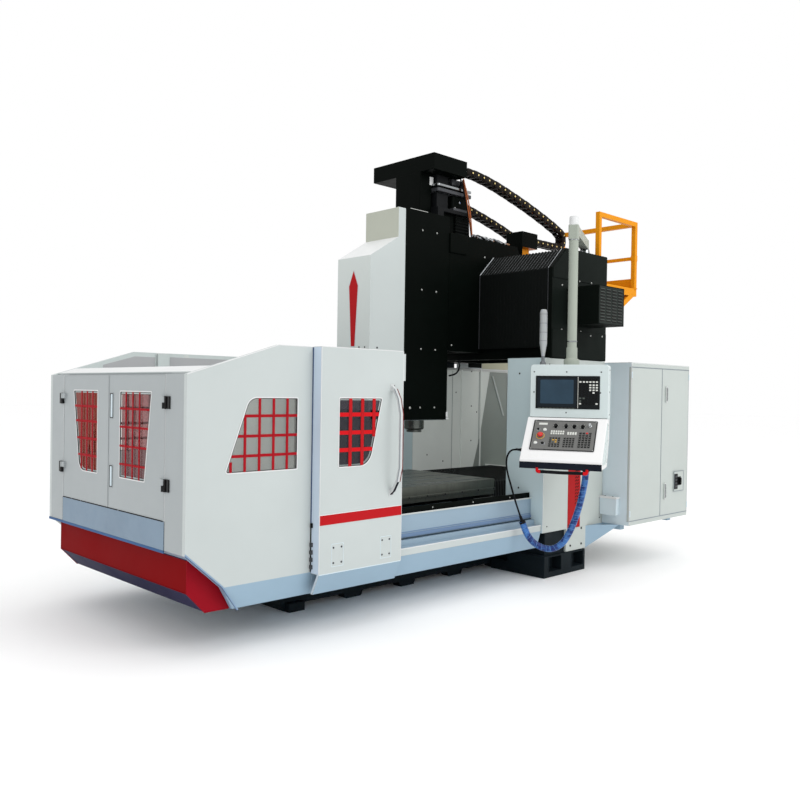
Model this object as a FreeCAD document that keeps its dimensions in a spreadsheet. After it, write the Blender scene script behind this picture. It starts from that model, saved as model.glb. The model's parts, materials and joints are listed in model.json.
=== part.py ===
import FreeCAD, Part
import math
import os
import Sketcher

# A small bridge-type machining centre: a cast bed with a travelling table, two
# columns, a crossbeam with a saddle and a vertical ram, sheet-metal guards
# round the working area, an electrical cabinet and a hanging control pendant.
# Millimetres.  The origin is on the floor at the middle of the four anchor
# bolts, +X along the bed from the chip doors to the cabinet, +Y along the
# crossbeam away from the operator, +Z up.

V = FreeCAD.Vector
doc = FreeCAD.newDocument("machining_centre")
sheet = doc.addObject("Spreadsheet::Sheet", "Dims")
rows = [0]
pieces = {}


def cell(alias, value):
    """A plain number in the sheet; the returned text binds a property to it."""
    rows[0] += 1
    sheet.set("A%d" % rows[0], alias)
    sheet.set("B%d" % rows[0], repr(round(float(value), 4)))
    sheet.setAlias("B%d" % rows[0], alias)
    return "Dims." + alias


def R(a, b, c, d):
    return [(a, b), (c, b), (c, d), (a, d)]


def C(x, y, r):
    return ("circle", x, y, r)


def mir(pts):
    """The outline mirrored in its first coordinate."""
    return [(-p[0],) + tuple(p[1:]) for p in reversed(pts)]


class Piece:
    """One piece as a body of sketched pads and pockets at its own base point.

    Outlines are given in the machine's frame and drawn from the base point;
    a corner may carry a third number, its rounding radius.
    """

    def __init__(self, label, base=(0, 0, 0), rot=None, local=False):
        self.label = label
        self.base = base
        self.off = (0, 0, 0) if local else base
        self.n = 0
        self.b = doc.addObject("PartDesign::Body", label + "_body")
        self.b.Label = label
        if hasattr(self.b, "AllowCompound"):
            self.b.AllowCompound = True
        self.planes = {f.Role: f for f in self.b.Origin.OriginFeatures}
        self.b.Placement = FreeCAD.Placement(V(*base), rot or FreeCAD.Rotation())
        for ax, v in zip("xyz", base):
            self.b.setExpression("Placement.Base." + ax, cell("%s_base_%sx" % (label, ax), v))
        pieces[label] = self.b

    def _c(self, what, value):
        self.n += 1
        return cell("%s_%s_n%d" % (self.label, what, self.n), value)

    def sketch(self, plane, at, loops):
        i, j, k = {"XY": (0, 1, 2), "XZ": (0, 2, 1), "YZ": (1, 2, 0)}[plane]
        s = self.b.newObject("Sketcher::SketchObject", "%s_sk%d" % (self.label, self.n))
        s.AttachmentSupport = [(self.planes[plane + "_Plane"], "")]
        s.MapMode = "FlatFace"
        d = at - self.off[k]
        if plane == "XZ":
            d = -d
        s.AttachmentOffset = FreeCAD.Placement(V(0, 0, d), FreeCAD.Rotation())
        s.setExpression("AttachmentOffset.Base.z", self._c("off", d))
        cons = []
        exprs = []

        def con(c, value=None, what=None):
            cons.append(c)
            if what:
                exprs.append((len(cons) - 1, what, value))

        geo = []
        for loop in loops:
            if isinstance(loop, tuple) and loop[0] == "circle":
                x, y, r = loop[1] - self.off[i], loop[2] - self.off[j], loop[3]
                g = len(geo)
                geo.append(Part.Circle(V(x, y, 0), V(0, 0, 1), r))
                con(Sketcher.Constraint("DistanceX", -1, 1, g, 3, x), x, "cx")
                con(Sketcher.Constraint("DistanceY", -1, 1, g, 3, y), y, "cy")
                con(Sketcher.Constraint("Radius", g, r), r, "rad")
                continue
            pts = [(p[0] - self.off[i], p[1] - self.off[j], p[2] if len(p) > 2 else 0) for p in loop]
            m = len(pts)
            ends = []
            for q in range(m):
                x, y, r = pts[q]
                if not r:
                    ends.append(((x, y), (x, y), None))
                    continue
                a = V(pts[q - 1][0] - x, pts[q - 1][1] - y, 0).normalize()
                b = V(pts[(q + 1) % m][0] - x, pts[(q + 1) % m][1] - y, 0).normalize()
                half = a.getAngle(b) / 2
                t = r / math.tan(half)
                p1 = (x + a.x * t, y + a.y * t)
                p2 = (x + b.x * t, y + b.y * t)
                m_ = (a + b).normalize() * (r / math.sin(half))
                ends.append((p1, p2, (x + m_.x, y + m_.y, r)))
            segs = []
            for q in range(m):
                p1, p2, arc = ends[q]
                if arc:
                    cx, cy, r = arc
                    a0 = math.atan2(p1[1] - cy, p1[0] - cx)
                    a1 = math.atan2(p2[1] - cy, p2[0] - cx)
                    turn = (a1 - a0) % (2 * math.pi)
                    circ = Part.Circle(V(cx, cy, 0), V(0, 0, 1), r)
                    if turn < math.pi:
                        segs.append((Part.ArcOfCircle(circ, a0, a1), 1, 2, p1, r))
                    else:
                        segs.append((Part.ArcOfCircle(circ, a1, a0), 2, 1, p1, r))
                nx = ends[(q + 1) % m][0]
                segs.append((Part.LineSegment(V(p2[0], p2[1], 0), V(nx[0], nx[1], 0)), 1, 2, p2, 0))
            g0 = len(geo)
            k_ = len(segs)
            geo.extend(x[0] for x in segs)
            for q in range(k_):
                nq = (q + 1) % k_
                con(Sketcher.Constraint("Coincident", g0 + q, segs[q][2], g0 + nq, segs[nq][1]))
            for q in range(k_):
                x, y = segs[q][3]
                con(Sketcher.Constraint("DistanceX", -1, 1, g0 + q, segs[q][1], x), x, "px")
                con(Sketcher.Constraint("DistanceY", -1, 1, g0 + q, segs[q][1], y), y, "py")
                if segs[q][4]:
                    con(Sketcher.Constraint("Radius", g0 + q, segs[q][4]), segs[q][4], "rad")
        s.addGeometry(geo, False)
        s.addConstraint(cons)
        for q, what, value in exprs:
            s.setExpression("Constraints[%d]" % q, self._c(what, value))
        return s

    def pad(self, plane, a, b, *loops):
        s = self.sketch(plane, b if plane == "XZ" else a, loops)
        p = self.b.newObject("PartDesign::Pad", "%s_pad%d" % (self.label, self.n))
        p.Profile = s
        p.Length = b - a
        p.setExpression("Length", self._c("len", b - a))
        return p

    def cut(self, plane, a, b, *loops):
        s = self.sketch(plane, a if plane == "XZ" else b, loops)
        p = self.b.newObject("PartDesign::Pocket", "%s_cut%d" % (self.label, self.n))
        p.Profile = s
        p.Length = b - a
        p.setExpression("Length", self._c("len", b - a))
        return p

    def turn(self, *loops):
        """Turned about the piece's own upright axis: outlines are (radius, height)."""
        loops = [[(p[0] + self.off[0], p[1]) for p in loop] for loop in loops]
        s = self.sketch("XZ", self.off[1], loops)
        p = self.b.newObject("PartDesign::Revolution", "%s_rev%d" % (self.label, self.n))
        p.Profile = s
        p.ReferenceAxis = (s, ["V_Axis"])
        p.Angle = 360
        return p

    def repeat(self, feature, axis, length, count):
        p = self.b.newObject("PartDesign::LinearPattern", "%s_row%d" % (self.label, self.n))
        p.Originals = [feature]
        p.Direction = (feature.Profile[0], [axis])
        p.Length = length
        p.Occurrences = count
        p.setExpression("Length", self._c("pitch", length))
        self.b.Tip = p
        return p


def ys(side, a, b):
    """A range of Y on the near (-1) or far (+1) side, lowest first."""
    return (a, b) if side > 0 else (-b, -a)


# ---------------------------------------------------------------- bed
feet = (-1375, -825, -275, 275, 825, 1375)
bed = Piece("bed")
line = [(-1480, 560), (-1480, 40)]
for f in feet:
    line += [(f - 96, 40), (f - 70, 0), (f + 70, 0), (f + 84, 40)]
line += [(1480, 40), (1480, 560)]
bed.pad("XZ", -382, 382, line)
for s in (-1, 1):
    a, b = ys(s, 380, 570)
    bed.pad("XZ", a, b, R(780, 90, 1250, 400))          # lugs that the columns bolt to
    a, b = ys(s, 300, 430)
    bed.pad("XY", 0, 60, R(-1440, a, -1310, b), R(1310, a, 1440, b))
bed.cut("XY", -1, 430, R(-1400, -300, -500, 300), R(-460, -300, 460, 300), R(500, -300, 1400, 300))
bed.cut("XZ", -383, 383, *[R(x - 140, 170, x + 140, 400) for x in (-1100, -550, 0, 550)])
bed.pad("YZ", -1460, -1400, R(-70, 555, 70, 660), C(0, 606, 25.3))
bed.pad("YZ", 1420, 1480, R(-70, 555, 70, 660), C(0, 606, 25.3))
bed.pad("YZ", -1495, -1479, R(-490, 500, 490, 765))
bed.cut("XY", -1, 61, *[C(x, y, 11) for x in (-1375, 1375) for y in (-407, 407)])

# linear rails: two on the bed, two on the face of the crossbeam
rails = Piece("guide_rails", (-1400, -322.5, 560))
rails.pad("YZ", -1400, 1400, R(-322.5, 560, -277.5, 600), R(277.5, 560, 322.5, 600))
rails.pad("XZ", -860, 860, R(803, 1930, 840, 1975), R(803, 2430, 840, 2475))

motor = Piece("x_servo_motor", (1480, 0, 606))
motor.pad("YZ", 1480, 1496, [(-65, 541, 8), (65, 541, 8), (65, 671, 8), (-65, 671, 8)])
motor.pad("YZ", 1496, 1740, [(-60, 546, 12), (60, 546, 12), (60, 666, 12), (-60, 666, 12)])
motor.pad("YZ", 1600, 1670, R(-40, 660, 40, 686))

motor = Piece("y_servo_motor", (1170, -944, 2230))
motor.pad("XZ", -960, -944, [(1105, 2165, 8), (1235, 2165, 8), (1235, 2295, 8), (1105, 2295, 8)])
motor.pad("XZ", -1205, -960, [(1110, 2170, 12), (1230, 2170, 12), (1230, 2290, 12), (1110, 2290, 12)])
motor.pad("XZ", -1160, -1100, R(1130, 2285, 1210, 2312))

# ---------------------------------------------------------------- columns and crossbeam
for name, s in (("near_column", -1), ("far_column", 1)):
    col = Piece(name, (720, 950 * s, 0))
    a, b = ys(s, 570, 950)
    col.pad("XY", 0, 178, R(720, a, 1306, b))
    a, b = ys(s, 394, 572)
    col.pad("XY", 0, 88, R(720, a, 1306, b))
    a, b = ys(s, 590, 920)
    col.pad("XY", 178, 1793, R(760, a, 1265, b))
    a, b = ys(s, 575, 935)
    col.pad("XY", 1740, 1793, R(770, a, 1290, b))
    a, b = ys(s, 630, 880)
    col.cut("XY", 230, 1794, R(800, a, 1225, b))
    a, b = ys(s, 860, 951)
    col.cut("XZ", a, b, R(784, 47, 953, 165), R(1113, 47, 1276, 165))

beam = Piece("crossbeam", (770, 0, 1793))
beam.pad("XZ", -905, 905, [(840, 1793), (1585, 1793), (1585, 2710), (1019, 2710), (840, 2538)])
for s in (-1, 1):
    a, b = ys(s, 905, 944)
    beam.pad("XZ", a, b, [(770, 1793), (1585, 1793), (1585, 2710), (954, 2710), (770, 2534)])
    a, b = ys(s, 943, 950)
    beam.pad("XZ", a, b, [(776, 2450), (1579, 2450), (1579, 2704), (957, 2704), (776, 2531)])
    beam.pad("XZ", a, b, R(776, 1799, 1579, 2030))
beam.cut("XZ", -860, 860, R(900, 1860, 1525, 2460))
beam.cut("XY", 1792, 1870, R(950, -420, 1475, 420))

cover = Piece("y_motor_cover", (980, -950, 2070))
cover.pad("XZ", -1250, -944, R(980, 2070, 1360, 2385))
cover.cut("XZ", -1247, -943, R(983, 2073, 1357, 2382))
slot = cover.cut("XZ", -1251, -1246, *[R(1004 + 88 * q, 2096, 1066 + 88 * q, 2104) for q in range(4)])
cover.repeat(slot, "V_Axis", 250, 11)
slot = cover.cut("YZ", 1355, 1361, R(-1180, 2110, -1020, 2118))
cover.repeat(slot, "V_Axis", 210, 8)

deck = Piece("service_platform", (1585, -900, 2490))
deck.pad("XY", 2482, 2490, R(1585, -900, 2170, -60))
deck.pad("XY", 2420, 2482, R(1585, -900, 2170, -60), R(1625, -860, 2130, -100))
deck.pad("XY", 2490, 3070, R(2130, -900, 2170, -860), R(2130, -100, 2170, -60))
deck.pad("XY", 2710, 3070, R(1522, -900, 1560, -860))
deck.pad("XZ", -900, -860, R(1522, 3068, 2170, 3110))
for a, b in ((-900, -860), (-100, -60)):
    deck.pad("XZ", a, b, [(1585, 2080), (1585, 2140), (2040, 2421), (2130, 2421)])
deck.pad("XY", 3070, 3110, R(2132, -870, 2170, -60))
deck.pad("XY", 2760, 2790, R(2138, -870, 2162, -70))

# ---------------------------------------------------------------- sheet-metal guards round the table
near_win = [(-2264, 1028, 10), (-1771, 1028, 6), (-1771, 1450, 6), (-2110, 1450, 70)]
for name, s in (("near_side_panel", -1), ("far_side_panel", 1)):
    end = -1638 if s < 0 else 699
    p = Piece(name, (-2511, 925 * s, 249))
    a, b = ys(s, 895, 925)
    top = [(-2511, 593), (-2511, 1577), (-1912, 1764), (end, 1764), (end, 390), (-2280, 390)]
    p.pad("XZ", a, b, top)
    side = [(885, 249), (925, 390), (895, 391), (855, 249)]
    flat = [(382, 247), (900, 247), (900, 257), (382, 257)]
    p.pad("YZ", -2280, end, side if s > 0 else mir(side))
    p.cut("XZ", a - 60, b + 60, [(-2290, 391), (-2290, 240), (-2180, 240), (-2182, 249), (-2280, 390)])
    x0 = -1638 if s > 0 else -2182
    lo = 382 if s > 0 else 700
    flat = R(*ys(s, lo, 880)[:1], 247, ys(s, lo, 880)[1], 257)
    p.pad("YZ", x0 if s > 0 else -2182, end, flat)
    if s < 0:
        p.cut("XZ", -926, -894, near_win)
    else:
        p.pad("XZ", 868, 896, R(-1734, 396, -1638, 1758))      # post at the seam
        p.cut("XZ", 894, 926, near_win)

pane = Piece("near_side_window", (-2264, -917, 1028))
pane.pad("XZ", -917, -911, [(-2263, 1028.5, 9.5), (-1771.5, 1028.5, 5.5), (-1771.5, 1449.5, 5.5), (-2109.5, 1449.5, 69.5)])

fr = Piece("front_frame", (-2511, 0, 593))
for s in (-1, 1):
    a, b = ys(s, 697, 894)
    fr.pad("XY", 593, 1577, R(-2511, a, -2471, b))
fr.pad("XZ", -894, 894, [(-2476, 1564), (-2476, 1587.9), (-2349, 1627.5), (-2349, 1606)])
fr.pad("XZ", -894, 894, [(-2511, 593), (-2456, 557), (-1740, 557), (-1740, 567), (-2450, 567), (-2495, 600)])
fr.pad("XY", 557, 567, R(-1745, -805, -1496, 805))
fr.pad("YZ", -2511, -2497, R(-697, 590, 697, 753))

pin = Piece("end_door_hinges", (-2522, -695, 922))
for s in (-1, 1):
    y = 695 * s
    a, b = ys(s, 708, 752)
    for z in (922, 1384):
        pin.pad("XY", z, z + 34, C(-2522, y, 10))
        pin.pad("XY", z, z + 70, R(-2519, a, -2511, b))
        pin.pad("XY", z, z + 34, R(-2526, *ys(s, 696, 712)[:1], -2518, ys(s, 696, 712)[1]))

bow = Piece("bow_bumper", (-2456, -855, 250))
bow.pad("XZ", -855, 855, [(-2456, 557), (-2456, 370), (-2342, 250), (-2182, 248), (-2238, 360), (-2380, 557)])
bow.cut("XZ", -843, 843, [(-2444, 545), (-2444, 375), (-2337, 262), (-2201, 260), (-2246, 352), (-2386, 545)])
bow.cut("XZ", -843, 843, [(-2440, 558), (-2440, 540), (-2396, 540), (-2396, 558)])

sill = Piece("doorway_sill", (-1637, -925, 247))
sill.pad("YZ", -1637, 699, [(-820, 645), (-810, 645), (-810, 425), (-915, 425), (-915, 387), (-877, 257), (-382, 257),
                            (-382, 247), (-885, 247), (-925, 385), (-925, 435), (-820, 435)])
sill.pad("YZ", -1630, 695, R(-862, 434, -838, 475))

cc = Piece("column_covers", (700, -940, 370))
for s in (-1, 1):
    out = [(700, 940), (700, 558), (704, 558), (704, 936), (1581, 936), (1581, 940)]
    if s < 0:
        out = [(x, -y) for x, y in reversed(out)]
    cc.pad("XY", 370, 1790, out)
    a, b = ys(s, 558, 940)
    cc.pad("XY", 1788, 1792, R(700, a, 759, b))

cab = Piece("cabinet", (1584, -1204, 373))
cab.pad("XY", 373, 1779, R(1584, -1182, 2631, -804))
cab.cut("XZ", -1183, -824, R(1604, 410, 2611, 1741))
cab.pad("XY", 373, 408, R(1584, -1204, 2631, -1181))
cab.pad("XY", 1743, 1779, R(1584, -1204, 2631, -1181))
cab.pad("XZ", -940, -921, [(1033, 180), (1323, 180), (1575, 330), (2480, 330), (2480, 369.5), (1033, 369.5)])
cab.pad("XY", 180, 373.5, [(1320, -938), (1590, -1104), (1592.6, -1099.7), (1322.6, -933.7)])      # support arm to the cabinet's corner
cab.cut("XZ", -1110, -940.5, [(1318, 179), (1600, 179), (1600, 366), (1588, 366), (1324, 182)])
cab.cut("XY", 369.5, 374, R(1312, -950, 1345, -925))
cab.pad("XY", 330, 373.5, R(1590, -1120, 1650, -840), R(2420, -1120, 2480, -840))

rg = Piece("rear_guard", (706, 0, 400))
for s in (-1, 1):
    a, b = ys(s, 558, 568)
    rg.pad("XZ", a, b, R(706, 401, 2600, 1730))
    a, b = ys(s, 546, 559)
    rg.pad("XZ", a, b, R(1370, 401, 1385, 1730))
    rg.pad("XZ", a, b, R(1662, 401, 1677, 1730))
rg.pad("YZ", 2590, 2600, R(-568, 401, 568, 1730))
rg.pad("XY", 401, 411, R(1484, -568, 2600, 568))
rg.pad("YZ", 1760, 1775, R(-560, 405, 560, 770))

for name, x0, x1 in (("x_bellows_front", -1479, -882), ("x_bellows_rear", 622, 1760)):
    bl = Piece(name, (x0, 0, 700))
    bl.pad("YZ", x0, x1, [(-490, 625), (-480, 625), (-480, 750), (480, 750), (480, 625), (490, 625), (490, 764), (-490, 764)])
for name, s in (("y_bellows_near", -1), ("y_bellows_far", 1)):
    bl = Piece(name, (773, 172 * s, 1880))
    a, b = (-904, -172) if s < 0 else (222, 904)
    bl.pad("XZ", a, b, [(773, 1880), (793, 1880), (793, 2525), (969, 2693), (955, 2707), (773, 2533)])

post = Piece("arm_post", (1385, -842, 2710))
post.turn([(0, 2710), (44, 2710), (44, 2734), (40, 2759), (26.95, 2759), (26.95, 2840), (0, 2840)])

# ---------------------------------------------------------------- travelling table
slots = (-400, -200, 0, 200, 400)
tb = Piece("table", (-880, 0, 655))
tb.pad("YZ", -880, 620, R(-500, 655, 500, 780))
tb.pad("XZ", -500, 500, R(-878, 700, -870, 735))
tb.pad("XY", 572, 657, R(-210, -70, -50, 70))
tb.cut("YZ", -883, 621, *[R(y - 9, 760, y + 9, 781) for y in slots])
tb.cut("YZ", -883, 621, *[R(y - 16, 745, y + 16, 761) for y in slots])
tb.cut("YZ", -211, -49, C(0, 606, 25.3))
tb.cut("XY", 654, 700, R(-700, -180, -240, 180), R(-20, -180, 440, 180))

tc = Piece("table_carriages", (-780, -360, 566))
for x in (-680, 420):
    tc.pad("YZ", x - 100, x + 100, [(-360, 566), (-323, 566), (-323, 600.5), (-277, 600.5), (-277, 566), (-240, 566), (-240, 655), (-360, 655)],
           [(240, 566), (277, 566), (277, 600.5), (323, 600.5), (323, 566), (360, 566), (360, 655), (240, 655)])

screw = Piece("x_ball_screw", (-1455, 0, 606))
screw.pad("YZ", -1455, 1478, C(0, 606, 25))
screw = Piece("y_ball_screw", (816, -900, 2200))
screw.pad("XZ", -903, 880, C(816, 2200, 18))
screw = Piece("z_ball_screw", (650, 25, 2060))
screw.pad("XY", 2060, 3066, C(650, 25, 20))

# ---------------------------------------------------------------- saddle and ram
sd = Piece("saddle", (376, -170, 1850))
sd.pad("XZ", -170, 220, [(376, 1850), (838, 1850), (838, 2543), (1014, 2716), (1620, 2716), (1620, 2768), (1345, 2768),
                         (1300, 2850), (376, 2850)])
sd.pad("XY", 1900, 2798, R(345, -110, 377, -70), R(345, 120, 377, 160))
sd.pad("XY", 2767, 2851, R(1460, 150, 1560, 325))
sd.cut("XY", 1849, 2600, R(420, -130, 570, 180), C(650, 25, 40))
sd.cut("XY", 2590, 2851, C(650, 25, 20.3))
sd.cut("XZ", -171, 221, R(802.5, 1929.5, 839, 1975.5), R(802.5, 2429.5, 839, 2475.5), C(816, 2200, 18.3))

cb = Piece("chain_box", (1373, -170, 2768))
cb.pad("XY", 2866, 3010, R(1373, -170, 1609, -45))
cb.cut("XY", 2872, 3005, R(1378, -167, 1610, -48))
cb.pad("YZ", 1373, 1379, R(-170, 2768, 17, 3008))
cb.pad("XY", 2768, 2868, R(1444, -120, 1544, -60))      # the post it stands on

ram = Piece("ram", (-145, -170, 1270))
ram.pad("XY", 1270, 2978, R(-145, -170, 374, 220))
ram.cut("XY", 1420, 2979, R(-105, -130, 300, 180))
ram.cut("XY", 1269, 1421, C(180, 25, 50.3))
ram.cut("XY", 1269, 2979, R(344, -110.5, 375, -69.5), R(344, 119.5, 375, 160.5))

fair = Piece("head_fairing", (-519, -170, 1350))
prof = [(-145, 2967), (-225, 2967), (-225, 2730), (-519, 2550), (-519, 1350), (-145, 1350)]
fair.pad("XZ", -170, 220, prof)
fair.cut("XZ", -166, 216, [(-144, 2963), (-221, 2963), (-221, 2728), (-515, 2548), (-515, 1354), (-144, 1354)])

house = Piece("spindle_housing", (180, 25, 1180))
house.turn([(50.3, 1182), (74, 1182), (84, 1192), (84, 1262), (90, 1262), (90, 1270), (50.3, 1270)])

sp = Piece("spindle", (180, 25, 1160))
sp.turn([(0, 1300), (20, 1300), (20, 1262), (35, 1190), (35, 1160), (64, 1160), (64, 1178), (50, 1178), (50, 1650), (0, 1650)])

sm = Piece("spindle_motor", (165, -20, 2978))
sm.pad("XY", 2978, 3350, [(165, -20, 8), (300, -20, 8), (300, 280, 8), (165, 280, 8)])
sm.cut("XY", 3000, 3351, R(175, -8, 290, 268))

cap = Piece("top_cap", (170, -171, 3350))
cap.pad("XY", 3350, 3485, R(170, -171, 583, 570))
cap.cut("XY", 3356, 3486, R(174, -167, 579, 566))

zm = Piece("z_servo_motor", (322, -80, 3040))
zm.pad("XY", 2978, 3042, R(302, -100, 374, 140))
zm.pad("XY", 3040, 3070, R(302, -100, 745, 140))
zm.pad("XY", 3070, 3092, [(505, -95, 8), (733, -95, 8), (733, 135, 8), (505, 135, 8)])
zm.pad("XY", 3092, 3300, [(515, -60, 10), (715, -60, 10), (715, 110, 10), (515, 110, 10)])
zm.pad("XY", 3300, 3350, [(530, -50, 10), (700, -50, 10), (700, 100, 10), (530, 100, 10)])
zm.pad("XY", 3070, 3350, [(330, -60, 10), (470, -60, 10), (470, 100, 10), (330, 100, 10)])
zm.cut("XY", 3039, 3068, C(650, 25, 20.3))


def band(top, zlow, xend, half):
    """A cable chain's outline: a bowed upper run through the points, a half turn and a level lower run."""
    n = len(top)
    up, dn = [], []
    for q in range(n):
        a, b = top[max(q - 1, 0)], top[min(q + 1, n - 1)]
        k = math.atan2(b[1] - a[1], b[0] - a[0])
        up.append((top[q][0] - math.sin(k) * half, top[q][1] + math.cos(k) * half))
        dn.append((top[q][0] + math.sin(k) * half, top[q][1] - math.cos(k) * half))
    x1, z1 = top[-1]
    mid, rad = (z1 + zlow) / 2, (z1 - zlow) / 2
    for q in range(1, 13):
        t = math.pi / 2 + k * (1 - q / 12) - math.pi * q / 12
        up.append((x1 + math.cos(t) * (rad + half), mid + math.sin(t) * (rad + half)))
        dn.append((x1 + math.cos(t) * (rad - half), mid + math.sin(t) * (rad - half)))
    up.append((xend, zlow - half))
    dn.append((xend, zlow + half))
    return [(round(x, 3), round(z, 3)) for x, z in up + dn[::-1]]


Z_RUN = [(596, 3414), (764, 3405), (924, 3384), (1083, 3354), (1236, 3319), (1394, 3281), (1541, 3243), (1687, 3201), (1842, 3154), (1985, 3104)]
AIR_RUN = [(596, 3288), (760, 3271), (920, 3251), (1076, 3229), (1225, 3199), (1374, 3167), (1521, 3132), (1660, 3095), (1800, 3052), (1930, 3006)]
ch = Piece("z_chain", (585, -165, 3410))
ch.pad("XZ", -165, -72, band(Z_RUN, 2940, 1480, 30))
ch = Piece("air_chain", (585, 230, 3351))
ch.pad("XZ", 230, 322, band(AIR_RUN, 2882, 1470, 30))

# ---------------------------------------------------------------- doors
near_pane = [(-533, 1473), (-457, 957), (-143, 957), (-143, 1473)]
far_pane = [(172, 1473), (172, 957), (436, 957, 80), (531, 1473)]


def grow(pts, d):
    """Every corner moved towards the outline's middle by d."""
    cx = sum(p[0] for p in pts) / len(pts)
    cy = sum(p[1] for p in pts) / len(pts)
    return [(p[0] + math.copysign(d, cx - p[0]), p[1] + math.copysign(d, cy - p[1])) + tuple(p[2:]) for p in pts]


for name, s, pn in (("near_end", -1, near_pane), ("far_end", 1, far_pane)):
    d = Piece(name + "_door", (-2511, 693 * s, 757))
    a, b = (-693, 9) if s < 0 else (15, 693)
    d.pad("YZ", -2511, -2507, R(a, 757, b, 1575), pn)
    d.pad("YZ", -2508, -2479, R(a, 757, b, 1575), R(a + 4, 761, b - 4, 1571))
    for z in (957, 1419):
        d.pad("XY", z, z + 34, C(-2522, 695 * s, 10))
        d.pad("XY", z, z + 34, R(-2526, *ys(s, 655, 694)[:1], -2510, ys(s, 655, 694)[1]))
    g = Piece(name + "_window", (-2507, (a + b) / 2, 940))
    g.pad("YZ", -2506.5, -2501, grow(pn, -12))

door_win = [(-1510, 1030, 8), (-1258, 1030, 100), (-1155, 1453, 8), (-1510, 1453, 8)]
sl = Piece("sliding_door", (-1655, -1005, 256))
sl.pad("XZ", -1005, -1001, R(-1655, 383, -965, 1765), door_win)
sl.pad("YZ", -1655, -1651, R(-1002, 383, -928, 1765))
sl.pad("YZ", -969, -965, R(-1002, 383, -928, 1765))
sl.pad("XY", 1761, 1765, R(-1655, -1002, -965, -928))
sl.pad("YZ", -1655, -965, [(-1005, 384), (-1001, 384), (-944, 256), (-948, 256)])
sl.pad("XZ", -1005, -1001, R(-966, 1570, -945, 1748))
sl.pad("YZ", -1600, -1540, [(-1002, 510), (-862, 510), (-862, 476), (-838, 476), (-838, 522), (-1002, 522)])
sl.pad("YZ", -1080, -1020, [(-1002, 510), (-862, 510), (-862, 476), (-838, 476), (-838, 522), (-1002, 522)])
g = Piece("sliding_door_window", (-1510, -1000.5, 1030))
g.pad("XZ", -1000.5, -995, grow(door_win, -12))
hd = Piece("door_handle", (-1065, -1005, 822))
hd.pad("YZ", -1076, -1054, [(-1005, 822), (-1040, 850), (-1078, 915), (-1100, 1010), (-1100, 1357), (-1078, 1452), (-1040, 1517), (-1005, 1545),
                            (-1005, 1505), (-1028, 1490), (-1060, 1437), (-1080, 1350), (-1080, 1017), (-1060, 930), (-1028, 877), (-1005, 862)])

for name, x0, x1, hx in (("cabinet_door_left", 1586, 2119, 1), ("cabinet_door_right", 2121, 2629, -1)):
    d = Piece(name, (x0, -1204, 410))
    cuts = [R(x0, 410, x1, 1741)]
    d.pad("XZ", -1204, -1201, *cuts)
    d.pad("XZ", -1202, -1184, R(x0, 410, x1, 1741), R(x0 + 3, 413, x1 - 3, 1738))
    for z in (450, 1650):
        d.pad("XY", z, z + 50, C(1592 if hx > 0 else 2625, -1206.5, 4.5))
    if hx < 0:
        d.pad("XZ", -1216, -1203, [(2176, 1438, 10), (2204, 1438, 10), (2204, 1582, 10), (2176, 1582, 10)],)
        d.pad("XZ", -1216, -1203, [(2176, 558, 10), (2204, 558, 10), (2204, 704, 10), (2176, 704, 10)])
        d.pad("XZ", -1214, -1203, R(2355, 616, 2537, 800))
kn = Piece("breaker_knob", (2446, -1214.3, 708))
kn.pad("XZ", -1222, -1214.3, C(2446, 708, 34))
kn.pad("XZ", -1240, -1221, [(2437, 676, 8), (2455, 676, 8), (2455, 740, 8), (2437, 740, 8)])

# ---------------------------------------------------------------- pendant arm and pendant
boom = math.hypot(625, 308)
turn_z = math.degrees(math.atan2(-308, -625))
arm = Piece("pendant_arm", (1385, -842, 0), FreeCAD.Rotation(V(0, 0, 1), turn_z), local=True)
arm.pad("XY", 2761, 2836, [(-38, -35, 30), (boom + 40, -35, 12), (boom + 40, 35, 12), (-38, 35, 30)])
arm.cut("XY", 2760, 2837, C(0, 0, 27))
arm.cut("XZ", -36, 36, R(70, 2767, boom - 70, 2830))
arm.pad("XZ", -35, -30, R(50, 2763, boom - 50, 2834))
arm.pad("XZ", 30, 35, R(50, 2763, boom - 50, 2834))
arm.pad("XY", 2725, 2836, [(boom - 40, -39, 12), (boom + 40, -39, 12), (boom + 40, 39, 12), (boom - 40, 39, 12)])
arm.pad("XY", 2835, 2900, C(boom, 0, 37))
arm.pad("XY", 1915, 2726, C(boom, 0, 37))
arm.pad("XY", 1858, 1916, C(boom, 0, 20))

spin = FreeCAD.Rotation(V(0, 0, 1), -65.23)
tube = (760, -1150, 0)
box = Piece("pendant_box", tube, spin, local=True)
box.pad("YZ", -303.5, 303.5, R(-114, 1300, 16, 1731))
box.pad("YZ", -318, 300, [(-114, 1315), (-403, 999), (-403, 940), (-110, 940), (16, 1150), (16, 1316), (-114, 1316)])
box.pad("XY", 1730, 1756, C(0, 0, 60))
box.pad("XY", 1755, 1912, C(0, 0, 37))
box.cut("XY", 1856, 1913, C(0, 0, 20.05))

f = V(math.sin(math.radians(65.23)), math.cos(math.radians(65.23)), 0)     # into the machine
r = V(math.cos(math.radians(65.23)), -math.sin(math.radians(65.23)), 0)   # along the pendant's width
slope = V(-289, 0, -316)
k = math.hypot(289, 316)
nrm = f * (-316 / k) + V(0, 0, 289 / k)
up = f * (289 / k) + V(0, 0, 316 / k)
m = FreeCAD.Matrix(r.x, up.x, nrm.x, 0, r.y, up.y, nrm.y, 0, r.z, up.z, nrm.z, 0, 0, 0, 0, 1)
tilt = FreeCAD.Placement(m).Rotation
top_edge = V(760, -1150, 1315) + f * -114


def on_slope(x, t, h=0):
    """A point x across and t down the sloping face, h above it."""
    return top_edge + r * x - up * t + nrm * h


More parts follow.
